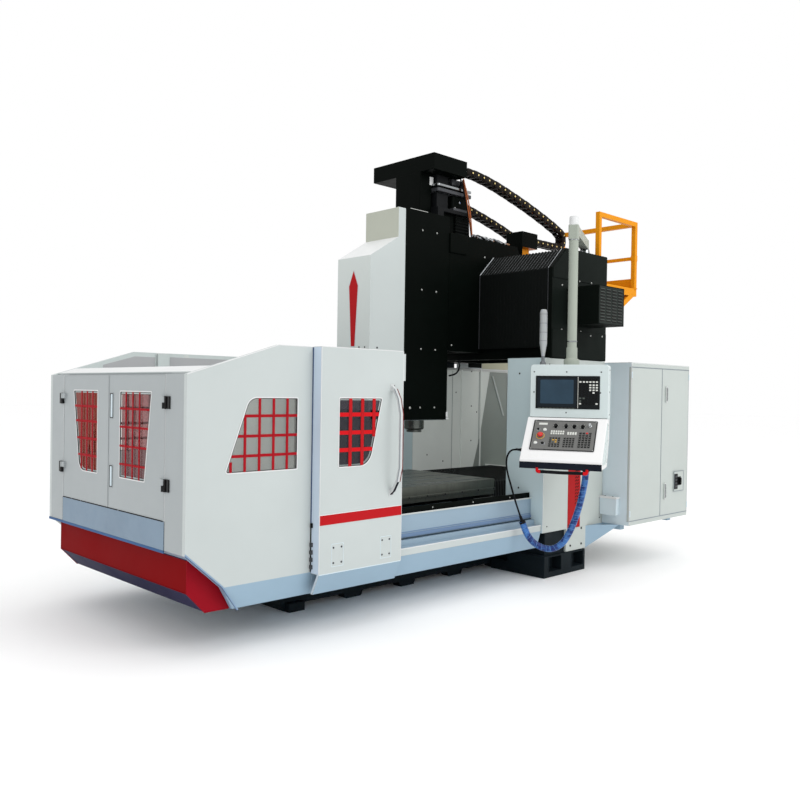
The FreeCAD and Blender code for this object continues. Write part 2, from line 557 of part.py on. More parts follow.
o = on_slope(0, 0, 0.0)
op = Piece("operator_panel", (o.x, o.y, o.z), tilt, local=True)
op.pad("XY", 0, 5, [(-254, -330, 6), (228, -330, 6), (228, -38, 6), (-254, -38, 6)], C(-190, -193, 9))
op.pad("XY", 4.9, 9, C(-190, -193, 27), C(-190, -193, 9))
for name, x, t, rr in (("feed_knob", -83, 92, 13), ("spindle_knob", -3, 92, 13)):
    o = on_slope(x, t, 5.3)
    kn = Piece(name, (o.x, o.y, o.z), tilt, local=True)
    kn.pad("XY", 0, 12, C(0, 0, rr))
    kn.pad("XY", 11.9, 20, [(-3.5, -12, 2), (3.5, -12, 2), (3.5, 12, 2), (-3.5, 12, 2)])
o = on_slope(-190, 193, 5.2)
es = Piece("e_stop", (o.x, o.y, o.z), tilt, local=True)
es.turn([(0, 0), (8, 0), (8, 9.5), (20, 9.5), (22, 12), (22, 20), (15, 25), (0, 26)])

hb = Piece("pendant_handle", tube, spin, local=True)
hb.pad("YZ", -172, 182, C(-400, 912, 13))
hb.pad("YZ", -188, -171, [(-417, 896, 8), (-375, 896, 8), (-375, 940), (-400, 940)])
hb.pad("YZ", 181, 198, [(-417, 896, 8), (-375, 896, 8), (-375, 940), (-400, 940)])

lx = V(760, -1150, 0) + r * -221 + f * -40
lamp = Piece("signal_lamp", (lx.x, lx.y, 1731))
lamp.turn([(0, 1731), (24, 1731), (24, 1748), (13, 1760), (13, 1800), (30, 1905), (30, 2150), (22, 2172), (0, 2175)])


# ---------------------------------------------------------------- cords of the pendant
def route_tube(label, pts, dia):
    """A round cord: straight runs joined by arcs tangent to both."""
    P = [V(*p) for p in pts]
    for q, p in enumerate(P):
        for ax, v in zip("xyz", p):
            cell("%s_p%d_%sx" % (label, q, ax), v)
    edges, radii, last = [], [], P[0]
    for q in range(1, len(P) - 1):
        a, b = P[q - 1] - P[q], P[q + 1] - P[q]
        short = min(a.Length, b.Length)
        ua, ub = V(a).normalize(), V(b).normalize()
        half = (math.pi - ua.getAngle(ub)) / 2
        rad = 0.45 * short / math.tan(half)
        t = 0.45 * short
        p1, p2 = P[q] + ua * t, P[q] + ub * t
        mid = P[q] + (ua + ub).normalize() * (rad / math.cos(half) - rad)
        edges.append(Part.LineSegment(last, p1).toShape())
        edges.append(Part.Arc(p1, mid, p2).toShape())
        radii.append(round(rad))
        last = p2
    edges.append(Part.LineSegment(last, P[-1]).toShape())
    wire = Part.Wire(edges)
    ring = Part.Wire([Part.Circle(P[0], P[1] - P[0], dia / 2).toShape()])
    shape = wire.makePipeShell([ring], True, True)
    ob = doc.addObject("Part::Feature", label + "_tube")
    ob.Label = label
    ob.Shape = shape
    ob.Placement = FreeCAD.Placement(V(0, 0, 0), FreeCAD.Rotation())
    pieces[label] = ob
    runs = [round((P[q + 1] - P[q]).Length) for q in range(len(P) - 1)]
    print(label, "length", round(wire.Length), "radii", radii, "runs", runs,
          "volume ratio", round(shape.Volume / (math.pi * dia * dia / 4 * wire.Length), 4))


lead = [(354.4, -987, 1062), (334, -943, 1066), (298, -916, 1058), (268, -904, 1010), (260, -907, 940), (268, -920, 865), (286, -937, 786),
        (303, -951, 708), (318, -967, 640), (334, -985, 570), (350, -1001, 510)]
sleeve = [(350, -1001, 510), (371, -1018, 430), (408, -1052, 355), (460, -1104, 308), (522, -1163, 296), (575, -1215, 336), (612, -1253, 418),
          (645, -1285, 532), (671, -1311, 655), (690, -1330, 785), (696, -1337, 850), (700, -1341, 940)]
route_tube("panel_lead", lead, 14)
route_tube("hose_sleeve", sleeve, 50)

# ---------------------------------------------------------------- check and write
doc.recompute()
bad = [o.Name for o in doc.Objects if "Invalid" in o.State or "Error" in o.State]
for label, ob in pieces.items():
    if ob.Shape.isNull() or not ob.Shape.isValid() or not ob.Shape.Solids:
        bad.append(label + " shape")
if bad:
    raise SystemExit("failed: " + ", ".join(bad))
os.makedirs("parts", exist_ok=True)
for label, ob in pieces.items():
    ob.Shape.exportStep("parts/%s.step" % label)
print(len(pieces), "pieces written,", rows[0], "sheet rows,", sum(len(o.Shape.Solids) for o in pieces.values()), "solids")
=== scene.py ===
import bpy
import bmesh
import json
import math
import random
import numpy as np
from mathutils import Matrix, Vector

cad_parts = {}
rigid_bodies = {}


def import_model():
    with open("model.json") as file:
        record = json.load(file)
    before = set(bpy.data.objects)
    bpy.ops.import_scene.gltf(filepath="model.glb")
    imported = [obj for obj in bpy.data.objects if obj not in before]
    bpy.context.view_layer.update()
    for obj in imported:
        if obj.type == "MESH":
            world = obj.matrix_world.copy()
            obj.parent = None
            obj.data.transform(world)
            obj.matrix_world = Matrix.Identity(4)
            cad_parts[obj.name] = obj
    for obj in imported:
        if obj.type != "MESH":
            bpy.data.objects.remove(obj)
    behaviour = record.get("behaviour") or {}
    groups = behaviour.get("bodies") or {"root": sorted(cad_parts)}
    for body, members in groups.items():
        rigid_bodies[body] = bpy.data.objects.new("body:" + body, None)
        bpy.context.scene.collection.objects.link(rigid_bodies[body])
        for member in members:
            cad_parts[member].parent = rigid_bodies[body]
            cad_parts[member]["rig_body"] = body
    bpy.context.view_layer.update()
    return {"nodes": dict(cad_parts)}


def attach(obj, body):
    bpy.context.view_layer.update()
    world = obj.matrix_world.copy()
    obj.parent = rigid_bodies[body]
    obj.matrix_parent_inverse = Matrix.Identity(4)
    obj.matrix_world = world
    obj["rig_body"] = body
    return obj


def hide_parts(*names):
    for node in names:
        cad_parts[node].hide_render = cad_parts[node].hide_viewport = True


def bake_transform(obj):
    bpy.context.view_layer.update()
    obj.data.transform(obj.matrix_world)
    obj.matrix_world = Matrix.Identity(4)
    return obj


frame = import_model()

K = 0.001                      # the drawings are in millimetres
NODES = frame["nodes"]
SCENE = bpy.context.scene
SCENE.view_settings.view_transform = "Standard"
SCENE.view_settings.look = "None"

# ------------------------------------------------------------------ camera
YAW, PITCH, ROLL = (math.radians(a) for a in (45.752, -0.593, -0.898))
fwd = Vector((math.cos(YAW) * math.cos(PITCH), math.sin(YAW) * math.cos(PITCH), math.sin(PITCH)))
right = Vector((math.sin(YAW), -math.cos(YAW), 0))
upv = right.cross(fwd)
r2 = right * math.cos(ROLL) - upv * math.sin(ROLL)
u2 = right * math.sin(ROLL) + upv * math.cos(ROLL)
cam = bpy.data.objects.new("camera", bpy.data.cameras.new("camera"))
SCENE.collection.objects.link(cam)
cam.data.sensor_width = 36
cam.data.lens = 36.99
cam.data.clip_end = 200
cam.matrix_world = Matrix(((r2.x, u2.x, -fwd.x, -4.766), (r2.y, u2.y, -fwd.y, -4.878), (r2.z, u2.z, -fwd.z, 1.5), (0, 0, 0, 1)))
SCENE.camera = cam

# the pendant's own directions: p = width, f = into the machine, origin on the tube's axis
PEN = Matrix(((math.cos(math.radians(65.23)), math.sin(math.radians(65.23)), 0, 760),
              (-math.sin(math.radians(65.23)), math.cos(math.radians(65.23)), 0, -1150), (0, 0, 1, 0), (0, 0, 0, 1)))
kk = math.hypot(289, 316)
S_UP = Vector((0, 289 / kk, 316 / kk))
S_N = Vector((0, -316 / kk, 289 / kk))
SLOPE = PEN @ Matrix(((1, 0, 0, 0), (0, S_UP.y, S_N.y, -114), (0, S_UP.z, S_N.z, 1315), (0, 0, 0, 1)))   # x across, y up the slope, z out of it


# ------------------------------------------------------------------ materials
ALBEDO = 0.74                  # the colours are named as they look in the studio's light, which is a third above one


def lin(rgb):
    return [((v / 255) / 12.92 if v <= 10.3 else ((v / 255 + 0.055) / 1.055) ** 2.4) for v in rgb]


def shade(rgb, k):
    return [min(1.0, v * k * ALBEDO) for v in lin(rgb)] + [1.0]


MATS = {}


def material(name, rgb, rough=0.42, metal=0.0, vary=0.05, scale=2.2, bump=0.04, fine=420.0, depth=0.0006, rvar=0.07,
             coat=0.0, spec=0.22, trans=0.0, ior=1.45, fleck=None, stretch=(1, 1, 1), glow=0.0, wave=None, sub=0.0):
    """A procedural surface: clouded colour, uneven gloss, a fine relief and, if asked, flecks of a second colour."""
    m = bpy.data.materials.new(name)
    m.use_nodes = True
    t = m.node_tree
    n, link = t.nodes, t.links.new
    b = n["Principled BSDF"]
    tc = n.new("ShaderNodeTexCoord")
    mp = n.new("ShaderNodeMapping")
    mp.inputs["Scale"].default_value = stretch
    link(tc.outputs["Object"], mp.inputs["Vector"])

    def noise(sc, detail=4, rgh=0.6):
        x = n.new("ShaderNodeTexNoise")
        x.inputs["Scale"].default_value = sc
        x.inputs["Detail"].default_value = detail
        x.inputs["Roughness"].default_value = rgh
        link(mp.outputs["Vector"], x.inputs["Vector"])
        return x.outputs["Fac"]

    def ramp(source, a, ca, z, cz):
        x = n.new("ShaderNodeValToRGB")
        x.color_ramp.elements[0].position, x.color_ramp.elements[0].color = a, ca
        x.color_ramp.elements[1].position, x.color_ramp.elements[1].color = z, cz
        link(source, x.inputs["Fac"])
        return x.outputs["Color"]

    cloud = noise(scale, 5, 0.55)
    col = ramp(cloud, 0.3, shade(rgb, 1 - vary), 0.7, shade(rgb, 1 + vary * 0.5))
    if fleck:
        frgb, lo, hi, fs = fleck
        mask = ramp(noise(fs, 6, 0.7), lo, (0, 0, 0, 1), hi, (1, 1, 1, 1))
        mix = n.new("ShaderNodeMix")
        mix.data_type = "RGBA"
        link(mask, mix.inputs["Factor"])
        link(col, mix.inputs["A"])
        mix.inputs["B"].default_value = shade(frgb, 1)
        col = mix.outputs["Result"]
    link(col, b.inputs["Base Color"])
    rr = n.new("ShaderNodeMapRange")
    rr.inputs["From Min"].default_value, rr.inputs["From Max"].default_value = 0.3, 0.7
    rr.inputs["To Min"].default_value, rr.inputs["To Max"].default_value = max(0.02, rough - rvar), min(1, rough + rvar)
    link(noise(scale * 4.3, 5, 0.6), rr.inputs["Value"])
    link(rr.outputs["Result"], b.inputs["Roughness"])
    bp = n.new("ShaderNodeBump")
    bp.inputs["Strength"].default_value = bump
    bp.inputs["Distance"].default_value = depth
    height = noise(fine, 3, 0.5)
    if wave:
        wv = n.new("ShaderNodeTexWave")
        wv.inputs["Scale"].default_value = wave[0]
        wv.inputs["Distortion"].default_value = wave[1]
        wv.bands_direction = wave[2]
        link(mp.outputs["Vector"], wv.inputs["Vector"])
        height = wv.outputs["Fac"]
    link(height, bp.inputs["Height"])
    link(bp.outputs["Normal"], b.inputs["Normal"])
    b.inputs["Metallic"].default_value = metal
    b.inputs["Specular IOR Level"].default_value = spec
    b.inputs["IOR"].default_value = ior
    b.inputs["Coat Weight"].default_value = coat
    b.inputs["Coat Roughness"].default_value = 0.08
    b.inputs["Transmission Weight"].default_value = trans
    if sub:
        b.inputs["Subsurface Weight"].default_value = sub
        b.inputs["Subsurface Radius"].default_value = (0.01, 0.01, 0.02)
    if glow:
        b.inputs["Emission Color"].default_value = lin(rgb) + [1]
        b.inputs["Emission Strength"].default_value = glow
    m.diffuse_color = lin(rgb) + [1]
    MATS[name] = m
    return m


PAINT = material("guard_paint", (214, 222, 221), 0.38, vary=0.03, coat=0.1)
# darker copy of the guard paint for the end faces, which get less light: painted shade
END_SHADED_PAINT = material("end_paint_shaded", (186, 193, 195), 0.4, vary=0.03, coat=0.06)
# lighter copy of the guard paint for the head fairing's -X faces: painted light
FAIRING_LIT = material("fairing_front_lit", (238, 246, 243), 0.4, vary=0.02, coat=0.06)
# inner faces of the guard and of the far panel: paint lightened and given a glow that stands in for the light inside
# the enclosure, painted light
INSIDE_GLOW = material("guard_inside_glow", (222, 228, 224), 0.5, vary=0.08, glow=0.17)
INDEEP_GLOW = material("guard_deep_glow", (214, 224, 222), 0.5, vary=0.08, glow=0.16)
# darker wall colour for a thin plate on the rear wall: painted shadow, with a faint glow
WALL_SHADOW_PLATE = material("wall_shadow", (168, 176, 172), 0.55, vary=0.08, glow=0.03)
WARMWALL = material("ledge_warm", (226, 226, 200), 0.5, vary=0.04)
# light blue for the skirts below z 390 and the cabinet's lowest faces; on the cabinet's support plate it is a painted
# reflection
SKIRT = material("skirt_paint", (166, 194, 214), 0.4, vary=0.04, coat=0.06)
SILL = material("sill_paint", (164, 188, 206), 0.38, vary=0.05, coat=0.1)
LEDGE = material("ledge_blue", (70, 108, 158), 0.42, vary=0.08, spec=0.08)
# bluish copy of the guard paint for faces turned down and forward low on the panel and for its folded front edge:
# painted shade
LOW_SHADE_BLUE = material("fold_shade_blue", (150, 178, 206), 0.4, vary=0.04)
# pale blue tint for the sliding door's -X edge, lightened against the weaker light there: painted shade tint
RIM_SHADE_BLUE = material("edge_shade_blue", (222, 238, 255), 0.4, vary=0.04)
FLAP = material("flap_paint", (141, 163, 183), 0.42, vary=0.08, scale=3)
# near-white for faces turned up, lighter than the paint they belong to: painted light from above
LIT_TOP = material("lit_top", (250, 252, 252), 0.4, vary=0.02)
# darker yellowish copy for the fairing's upper -X faces: painted shade
FAIR_UPPER_SHADE = material("fairing_upper_shaded", (204, 208, 194), 0.45, vary=0.03)
# grey for patches on the far panel's inner face: painted shade
WALL_SHADE_GREY = material("wall_shade_grey", (208, 210, 212), 0.5, vary=0.05)
# pale blue for the return of the door's lower fold, facing -X: painted shade tint
FOLDLIGHT = material("fold_light", (224, 236, 246), 0.4, vary=0.03)
# dark blue for lines along seams and folds: painted shade
SEAM_SHADE = material("seam_shade_blue", (84, 104, 140), 0.5, vary=0.1)
BLUEBAND = material("band_blue", (122, 150, 186), 0.42, vary=0.06)
SLATE = material("slate_edge", (66, 84, 98), 0.45, vary=0.1)
NAVY = material("navy_strip", (22, 28, 40), 0.42, spec=0.1, vary=0.1)
RED = material("red_paint", (202, 32, 38), 0.4, vary=0.05, spec=0.05)
BRIGHTRED = material("red_bright", (228, 26, 34), 0.4, vary=0.05, spec=0.06)
# darker copy of the bow's red for its front, which faces away from the light: painted shade
BOW_SHADED_RED = material("bow_red_shaded", (142, 14, 18), 0.45, vary=0.1, scale=0.9, spec=0.015)
GRIDRED = material("grid_red", (178, 26, 38), 0.42, vary=0.08, spec=0.04)
# lighter copy of the bow's red for its end caps: painted light
BOW_LIT_RED = material("bow_side_red_lit", (164, 20, 36), 0.4, vary=0.05, spec=0.05)
EDGERED = material("handle_red", (132, 44, 44), 0.42, vary=0.12, spec=0.05)
GLASSCLEAR = material("window_clear", (255, 250, 246), 0.05, vary=0.02, bump=0.01, trans=0.96, ior=1.2, rvar=0.02)
# darkened glass for the sliding door's window: painted shade for the dim view through it
GLASSDARK = material("window_dark", (120, 112, 122), 0.05, vary=0.02, bump=0.01, trans=0.96, ior=1.2, rvar=0.02)
GLASSROSE = material("window_rose", (190, 136, 138), 0.05, vary=0.02, bump=0.01, trans=0.96, ior=1.2, rvar=0.02)
GLASSRED = material("window_tinted", (206, 92, 76), 0.05, vary=0.02, bump=0.01, trans=0.96, ior=1.2, rvar=0.02)
GLASS = material("window_glass", (232, 238, 238), 0.05, vary=0.02, bump=0.01, trans=0.96, ior=1.2, rvar=0.02)
BLACK = material("black_casting", (11, 16, 13), 0.5, spec=0.04, vary=0.25, bump=0.16, fine=190, depth=0.0014, fleck=((30, 36, 33), 0.62, 0.8, 60))
SMOOTHBLACK = material("black_sheet", (6, 11, 8), 0.46, spec=0.035, vary=0.2, bump=0.05, fleck=((18, 22, 20), 0.64, 0.8, 30))
# lighter black for the beam's end plates: painted reflection on the black paint
BEAM_END_SHEEN = material("beam_plate_sheen", (25, 31, 28), 0.5, spec=0.04, vary=0.08, bump=0.08, fine=300)
LOUVRE = material("louvre_plate", (14, 19, 16), 0.5, spec=0.03, vary=0.08)
# lighter black for the motor cover's front face: painted reflection
LOUVRE_FRONT_SHEEN = material("louvre_front_sheen", (46, 52, 49), 0.5, spec=0.06, vary=0.08)
LOUVRESLAT = material("louvre_slat", (92, 98, 94), 0.45, spec=0.1, vary=0.08)
BEDBLACK = material("bed_casting", (26, 35, 40), 0.5, spec=0.08, vary=0.22, bump=0.3, fine=120, depth=0.002, fleck=((52, 62, 70), 0.6, 0.8, 40))
ORANGE = material("orange_frame", (250, 162, 22), 0.4, vary=0.05, spec=0.08, fleck=((214, 124, 14), 0.62, 0.75, 14))
CABINET = material("cabinet_paint", (207, 215, 211), 0.4, vary=0.03, coat=0.1)
# pale blue; on the cabinet's -X faces it is a painted shade tint, elsewhere the colour of small pale parts
CABSIDE = material("cabinet_side", (232, 248, 255), 0.4, vary=0.04)
# bluish copy of the cabinet paint for the column covers' -X faces: painted shade tint
COVER_SHADE_SIDE = material("cover_side_shade", (226, 246, 250), 0.4, vary=0.04)
SEAMGREY = material("seam_grey", (150, 160, 168), 0.45, vary=0.06)
PENDANT = material("pendant_paint", (230, 243, 243), 0.3, vary=0.02, coat=0.2, bump=0.06, fine=600)
# the pendant's paint raised to full white with a glow on the console, which faces the light: painted light
CONSOLE_LIT = material("console_paint_lit", (255, 255, 255), 0.3, vary=0.01, coat=0.2, glow=0.05)
ARM = material("arm_paint", (178, 186, 174), 0.42, vary=0.05)
DARKSTEEL = material("spindle_steel", (104, 108, 104), 0.3, metal=0.9, vary=0.1, stretch=(1, 1, 12), bump=0.04, fine=160)
STEEL = material("ground_steel", (178, 182, 184), 0.22, metal=1.0, vary=0.08, stretch=(1, 1, 12), bump=0.04, fine=160)
CHROME = material("chrome", (205, 208, 210), 0.12, metal=1.0, vary=0.04, rvar=0.03)
IRON = material("machined_iron", (116, 120, 112), 0.34, metal=0.85, vary=0.12, stretch=(14, 1, 1), bump=0.12, fine=120, fleck=((74, 76, 60), 0.56, 0.74, 6))
RUBBER = material("bellows_cloth", (18, 21, 20), 0.55, spec=0.06, vary=0.15, bump=0.35, fine=900, depth=0.0008)
# light grey for the bellows' fold crests: painted highlight
CREST_HIGHLIGHT = material("bellows_crest_highlight", (120, 124, 126), 0.4, vary=0.1)
CHAIN = material("chain_plastic", (28, 22, 18), 0.45, spec=0.1, vary=0.2, fleck=((66, 42, 28), 0.6, 0.76, 18))
# the glow on the brass pins stands in for their glint: painted highlight
GOLD = material("brass_pin", (250, 226, 150), 0.28, metal=0.35, vary=0.05, glow=0.12)
MOTOR = material("motor_black", (24, 26, 28), 0.45, spec=0.1, vary=0.15, bump=0.2, fine=300)
MOTORGREY = material("motor_grey", (86, 88, 92), 0.4, metal=0.5, vary=0.1)
PANELGREY = material("panel_grey", (126, 126, 124), 0.5, vary=0.04)
PANELDARK = material("panel_dark", (26, 30, 32), 0.4, spec=0.12, vary=0.1)
SCREEN = material("screen_glass", (50, 74, 92), 0.2, vary=0.16, scale=6, bump=0.005, coat=0.1, spec=0.12, glow=0.03)
SCREENEDGE = material("screen_border", (24, 34, 42), 0.22, vary=0.2, scale=6, bump=0.005, coat=0.1, spec=0.1)
# small glow on the white keys and marks: painted light
KEYWHITE = material("key_white", (236, 238, 232), 0.4, vary=0.03, glow=0.05)
KEYDIM = material("key_mark", (168, 170, 166), 0.45, vary=0.05)
KEYGREY = material("key_grey", (96, 104, 98), 0.45, vary=0.1)
KNOB = material("knob_black", (16, 17, 18), 0.36, vary=0.1, spec=0.15)
STOP = material("stop_red", (222, 36, 28), 0.26, vary=0.05, coat=0.5)
RING = material("stop_ring", (246, 150, 44), 0.4, vary=0.05)
YELLOW = material("key_gold", (224, 176, 70), 0.4, vary=0.05)
LAMP = material("lamp_lens", (186, 190, 192), 0.2, vary=0.08, coat=0.5, sub=0.2)
LAMPDARK = material("lamp_shadow", (120, 124, 128), 0.25, vary=0.12, coat=0.5)
HANDLE = material("handle_paint", (226, 230, 230), 0.24, vary=0.04, coat=0.4)
HOSE = material("hose_blue", (66, 122, 194), 0.3, vary=0.3, scale=12, bump=0.6, fine=60, depth=0.004, coat=0.25, sub=0.1, fleck=((20, 46, 116), 0.46, 0.56, 15))
HOSELIGHT = material("hose_light", (104, 158, 214), 0.32, vary=0.2, scale=9, coat=0.15)
CABLE = material("cable_black", (14, 16, 20), 0.42, spec=0.12, vary=0.1, bump=0.1)
COPPER = material("cable_brown", (176, 96, 50), 0.4, vary=0.12)
BRAID = material("braided_hose", (150, 154, 158), 0.32, metal=0.7, vary=0.2, bump=0.5, fine=500, depth=0.001)
SCREW = material("screw_zinc", (214, 216, 212), 0.3, metal=0.55, vary=0.06, bump=0.1)
DARKSCREW = material("screw_black", (20, 22, 24), 0.35, vary=0.1)
VENTRED = material("vent_red", (188, 40, 42), 0.42, vary=0.05, spec=0.05)
# near-black; in slots, vents, gaps and recesses it stands in for the shade inside them (painted shade); it also colours
# the hinge leaves
SLOTDARK = material("slot_dark", (14, 10, 10), 0.7, vary=0.2)
WHITE = material("white_edge", (244, 246, 246), 0.35, vary=0.02)
OUTLINE = material("light_outline", (226, 232, 236), 0.35, vary=0.02)
# dark blue for the bow's underside and the crease along its top: painted shade
UNDER_SHADE = material("under_shade_blue", (48, 46, 78), 0.5, vary=0.2, scale=0.8, spec=0.03)
FOAM = material("seal_rubber", (24, 24, 26), 0.6, vary=0.1)


# ------------------------------------------------------------------ mesh helpers
def corner_loop(pts, seg=6):
    """An outline with its corners rounded where a third number gives the radius."""
    out, m = [], len(pts)
    for q in range(m):
        x, y = pts[q][0], pts[q][1]
        r = pts[q][2] if len(pts[q]) > 2 else 0
        if not r:
            out.append((x, y))
            continue
        a = Vector((pts[q - 1][0] - x, pts[q - 1][1] - y)).normalized()
        b = Vector((pts[(q + 1) % m][0] - x, pts[(q + 1) % m][1] - y)).normalized()
        half = a.angle(b) / 2
        t = r / math.tan(half)
        c = Vector((x, y)) + (a + b).normalized() * (r / math.sin(half))
        p1, p2 = Vector((x, y)) + a * t, Vector((x, y)) + b * t
        a0, a1 = math.atan2(p1.y - c.y, p1.x - c.x), math.atan2(p2.y - c.y, p2.x - c.x)
        d = (a1 - a0 + math.pi) % (2 * math.pi) - math.pi
        for k in range(seg + 1):
            t_ = a0 + d * k / seg
            out.append((c.x + r * math.cos(t_), c.y + r * math.sin(t_)))
    return out


PLANES = {"XY": lambda u, v, w: (u, v, w), "XZ": lambda u, v, w: (u, w, v), "YZ": lambda u, v, w: (w, u, v)}


class Kit:
    """Parts of one piece, gathered in millimetres and made into one mesh."""

    def __init__(self, M=None):
        self.bm = bmesh.new()
        self.mats = []
        self.M = M or Matrix.Identity(4)

    def idx(self, mat):
        if mat not in self.mats:
            self.mats.append(mat)
        return self.mats.index(mat)

    def take(self, bm, mat, M=None):
        bmesh.ops.recalc_face_normals(bm, faces=bm.faces)
        i = self.idx(mat)
        for f_ in bm.faces:
            f_.material_index = i
        bm.transform(self.M @ (M or Matrix.Identity(4)))
        me = bpy.data.meshes.new("t")
        bm.to_mesh(me)
        self.bm.from_mesh(me)
        bpy.data.meshes.remove(me)
        bm.free()

    def bevel(self, bm, r, seg, limit=30):
        if r <= 0:
            return
        edges = [e for e in bm.edges if len(e.link_faces) == 2 and e.calc_face_angle(0) > math.radians(limit)]
        bmesh.ops.bevel(bm, geom=edges, offset=r, segments=seg, affect="EDGES", profile=0.5, clamp_overlap=True)

    def prism(self, plane, a, b, loop, mat, r=1.2, seg=2, M=None, arcs=6):
        pts = corner_loop(loop, arcs)
        to = PLANES[plane]
        bm = bmesh.new()
        lo = [bm.verts.new(to(x, y, a)) for x, y in pts]
        hi = [bm.verts.new(to(x, y, b)) for x, y in pts]
        bm.faces.new(lo[::-1])
        bm.faces.new(hi)
        m = len(pts)
        for q in range(m):
            bm.faces.new((lo[q], lo[(q + 1) % m], hi[(q + 1) % m], hi[q]))
        bmesh.ops.recalc_face_normals(bm, faces=bm.faces)
        self.bevel(bm, min(r, abs(b - a) * 0.3), seg)
        self.take(bm, mat, M)
        return self

    def box(self, x0, x1, y0, y1, z0, z1, mat, r=1.2, seg=2, M=None):
        return self.prism("XY", z0, z1, [(x0, y0), (x1, y0), (x1, y1), (x0, y1)], mat, min(r, abs(x1 - x0) * 0.3, abs(y1 - y0) * 0.3), seg, M)

    def lathe(self, prof, mat, M=None, n=24):
        """Turned about the local Z axis: (radius, height) pairs, ends on the axis closed."""
        bm = bmesh.new()
        rings = []
        for r, z in prof:
            if r < 1e-6:
                rings.append([bm.verts.new((0, 0, z))])
            else:
                rings.append([bm.verts.new((r * math.cos(2 * math.pi * q / n), r * math.sin(2 * math.pi * q / n), z)) for q in range(n)])
        for a, b in zip(rings, rings[1:]):
            for q in range(n):
                w = (q + 1) % n
                if len(a) == 1 and len(b) == 1:
                    continue
                if len(a) == 1:
                    bm.faces.new((a[0], b[q], b[w]))
                elif len(b) == 1:
                    bm.faces.new((a[q], b[0], a[w]))
                else:
                    bm.faces.new((a[q], b[q], b[w], a[w]))
        for end in (rings[0], rings[-1]):
            if len(end) > 1:
                bm.faces.new(end)
        self.take(bm, mat, M)
        return self

    def tube(self, pts, rad, mat, n=10, closed=False, M=None, flat=1.0):
        """A round tube through the points, its radius a number or one for each point."""
        P = [Vector(p) for p in pts]
        m = len(P)
        rads = rad if hasattr(rad, "__len__") else [rad] * m
        bm = bmesh.new()
        rings = []
        ref = None
        for q in range(m):
            a = P[(q - 1) % m] if closed or q else P[0]
            b = P[(q + 1) % m] if closed or q < m - 1 else P[-1]
            d = (b - a).normalized()
            if ref is None:
                ref = d.orthogonal().normalized()
            ref = (ref - d * ref.dot(d)).normalized()
            s = d.cross(ref)
            rings.append([bm.verts.new(P[q] + (ref * math.cos(2 * math.pi * k / n) + s * math.sin(2 * math.pi * k / n) * flat) * rads[q]) for k in range(n)])
        for q in range(m if closed else m - 1):
            a, b = rings[q], rings[(q + 1) % m]
            for k in range(n):
                w = (k + 1) % n
                bm.faces.new((a[k], a[w], b[w], b[k]))
        if not closed:
            bm.faces.new(rings[0][::-1])
            bm.faces.new(rings[-1])
        self.take(bm, mat, M)
        return self

    def screw(self, p, n, mat, r=7, h=4):
        """A button-head screw with a socket, at p and facing n."""
        q = Vector(n).to_track_quat("Z", "Y").to_matrix().to_4x4()
        q.translation = Vector(p)
        return self.lathe([(0, h * 0.3), (r * 0.4, h * 0.3), (r * 0.45, h), (r * 0.75, h * 0.9), (r, h * 0.35), (r, -0.5), (0, -0.5)], mat, q, 12)

    def ring(self, plane, a, b, outer, inner, mat, r=0.6):
        """A flat frame between two outlines with as many points each."""
        to = PLANES[plane]
        bm = bmesh.new()
        sets = []
        for loop in (outer, inner):
            for w in (a, b):
                sets.append([bm.verts.new(to(x, y, w)) for x, y in loop])
        oa, ob, ia, ib = sets
        m = len(outer)
        for q in range(m):
            w = (q + 1) % m
            bm.faces.new((oa[q], oa[w], ob[w], ob[q]))
            bm.faces.new((ia[w], ia[q], ib[q], ib[w]))
            bm.faces.new((oa[w], oa[q], ia[q], ia[w]))
            bm.faces.new((ob[q], ob[w], ib[w], ib[q]))
        bmesh.ops.recalc_face_normals(bm, faces=bm.faces)
        self.bevel(bm, r, 1, 50)
        self.take(bm, mat)
        return self

    def make(self, name, body, replaces=(), angle=50, weighted=True):
        me = bpy.data.meshes.new(name)
        self.bm.transform(Matrix.Scale(K, 4))
        self.bm.to_mesh(me)
        self.bm.free()
        for mt in self.mats:
            me.materials.append(mt)
        me.shade_smooth()
        me.set_sharp_from_angle(angle=math.radians(angle))
        o = bpy.data.objects.new(name, me)
        SCENE.collection.objects.link(o)
        if weighted:
            w = o.modifiers.new("normals", "WEIGHTED_NORMAL")
            w.keep_sharp = True
        if body:
            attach(o, body)
        if replaces:
            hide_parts(*replaces)
        return o


def shrink(pts, d):
    """A closed outline moved inwards by d along its own normals."""
    m = len(pts)
    area = sum(pts[q][0] * pts[(q + 1) % m][1] - pts[(q + 1) % m][0] * pts[q][1] for q in range(m))
    s = 1 if area > 0 else -1
    out = []
    for q in range(m):
        p, c, x = (Vector(pts[(q + k) % m][:2]) for k in (-1, 0, 1))
        a, b = (c - p).normalized(), (x - c).normalized()
        na, nb = Vector((-a.y, a.x)) * s, Vector((-b.y, b.x)) * s
        k = na + nb
        out.append(tuple(c + k * (d / max(0.3, 0.5 * k.length_squared))))
    return out


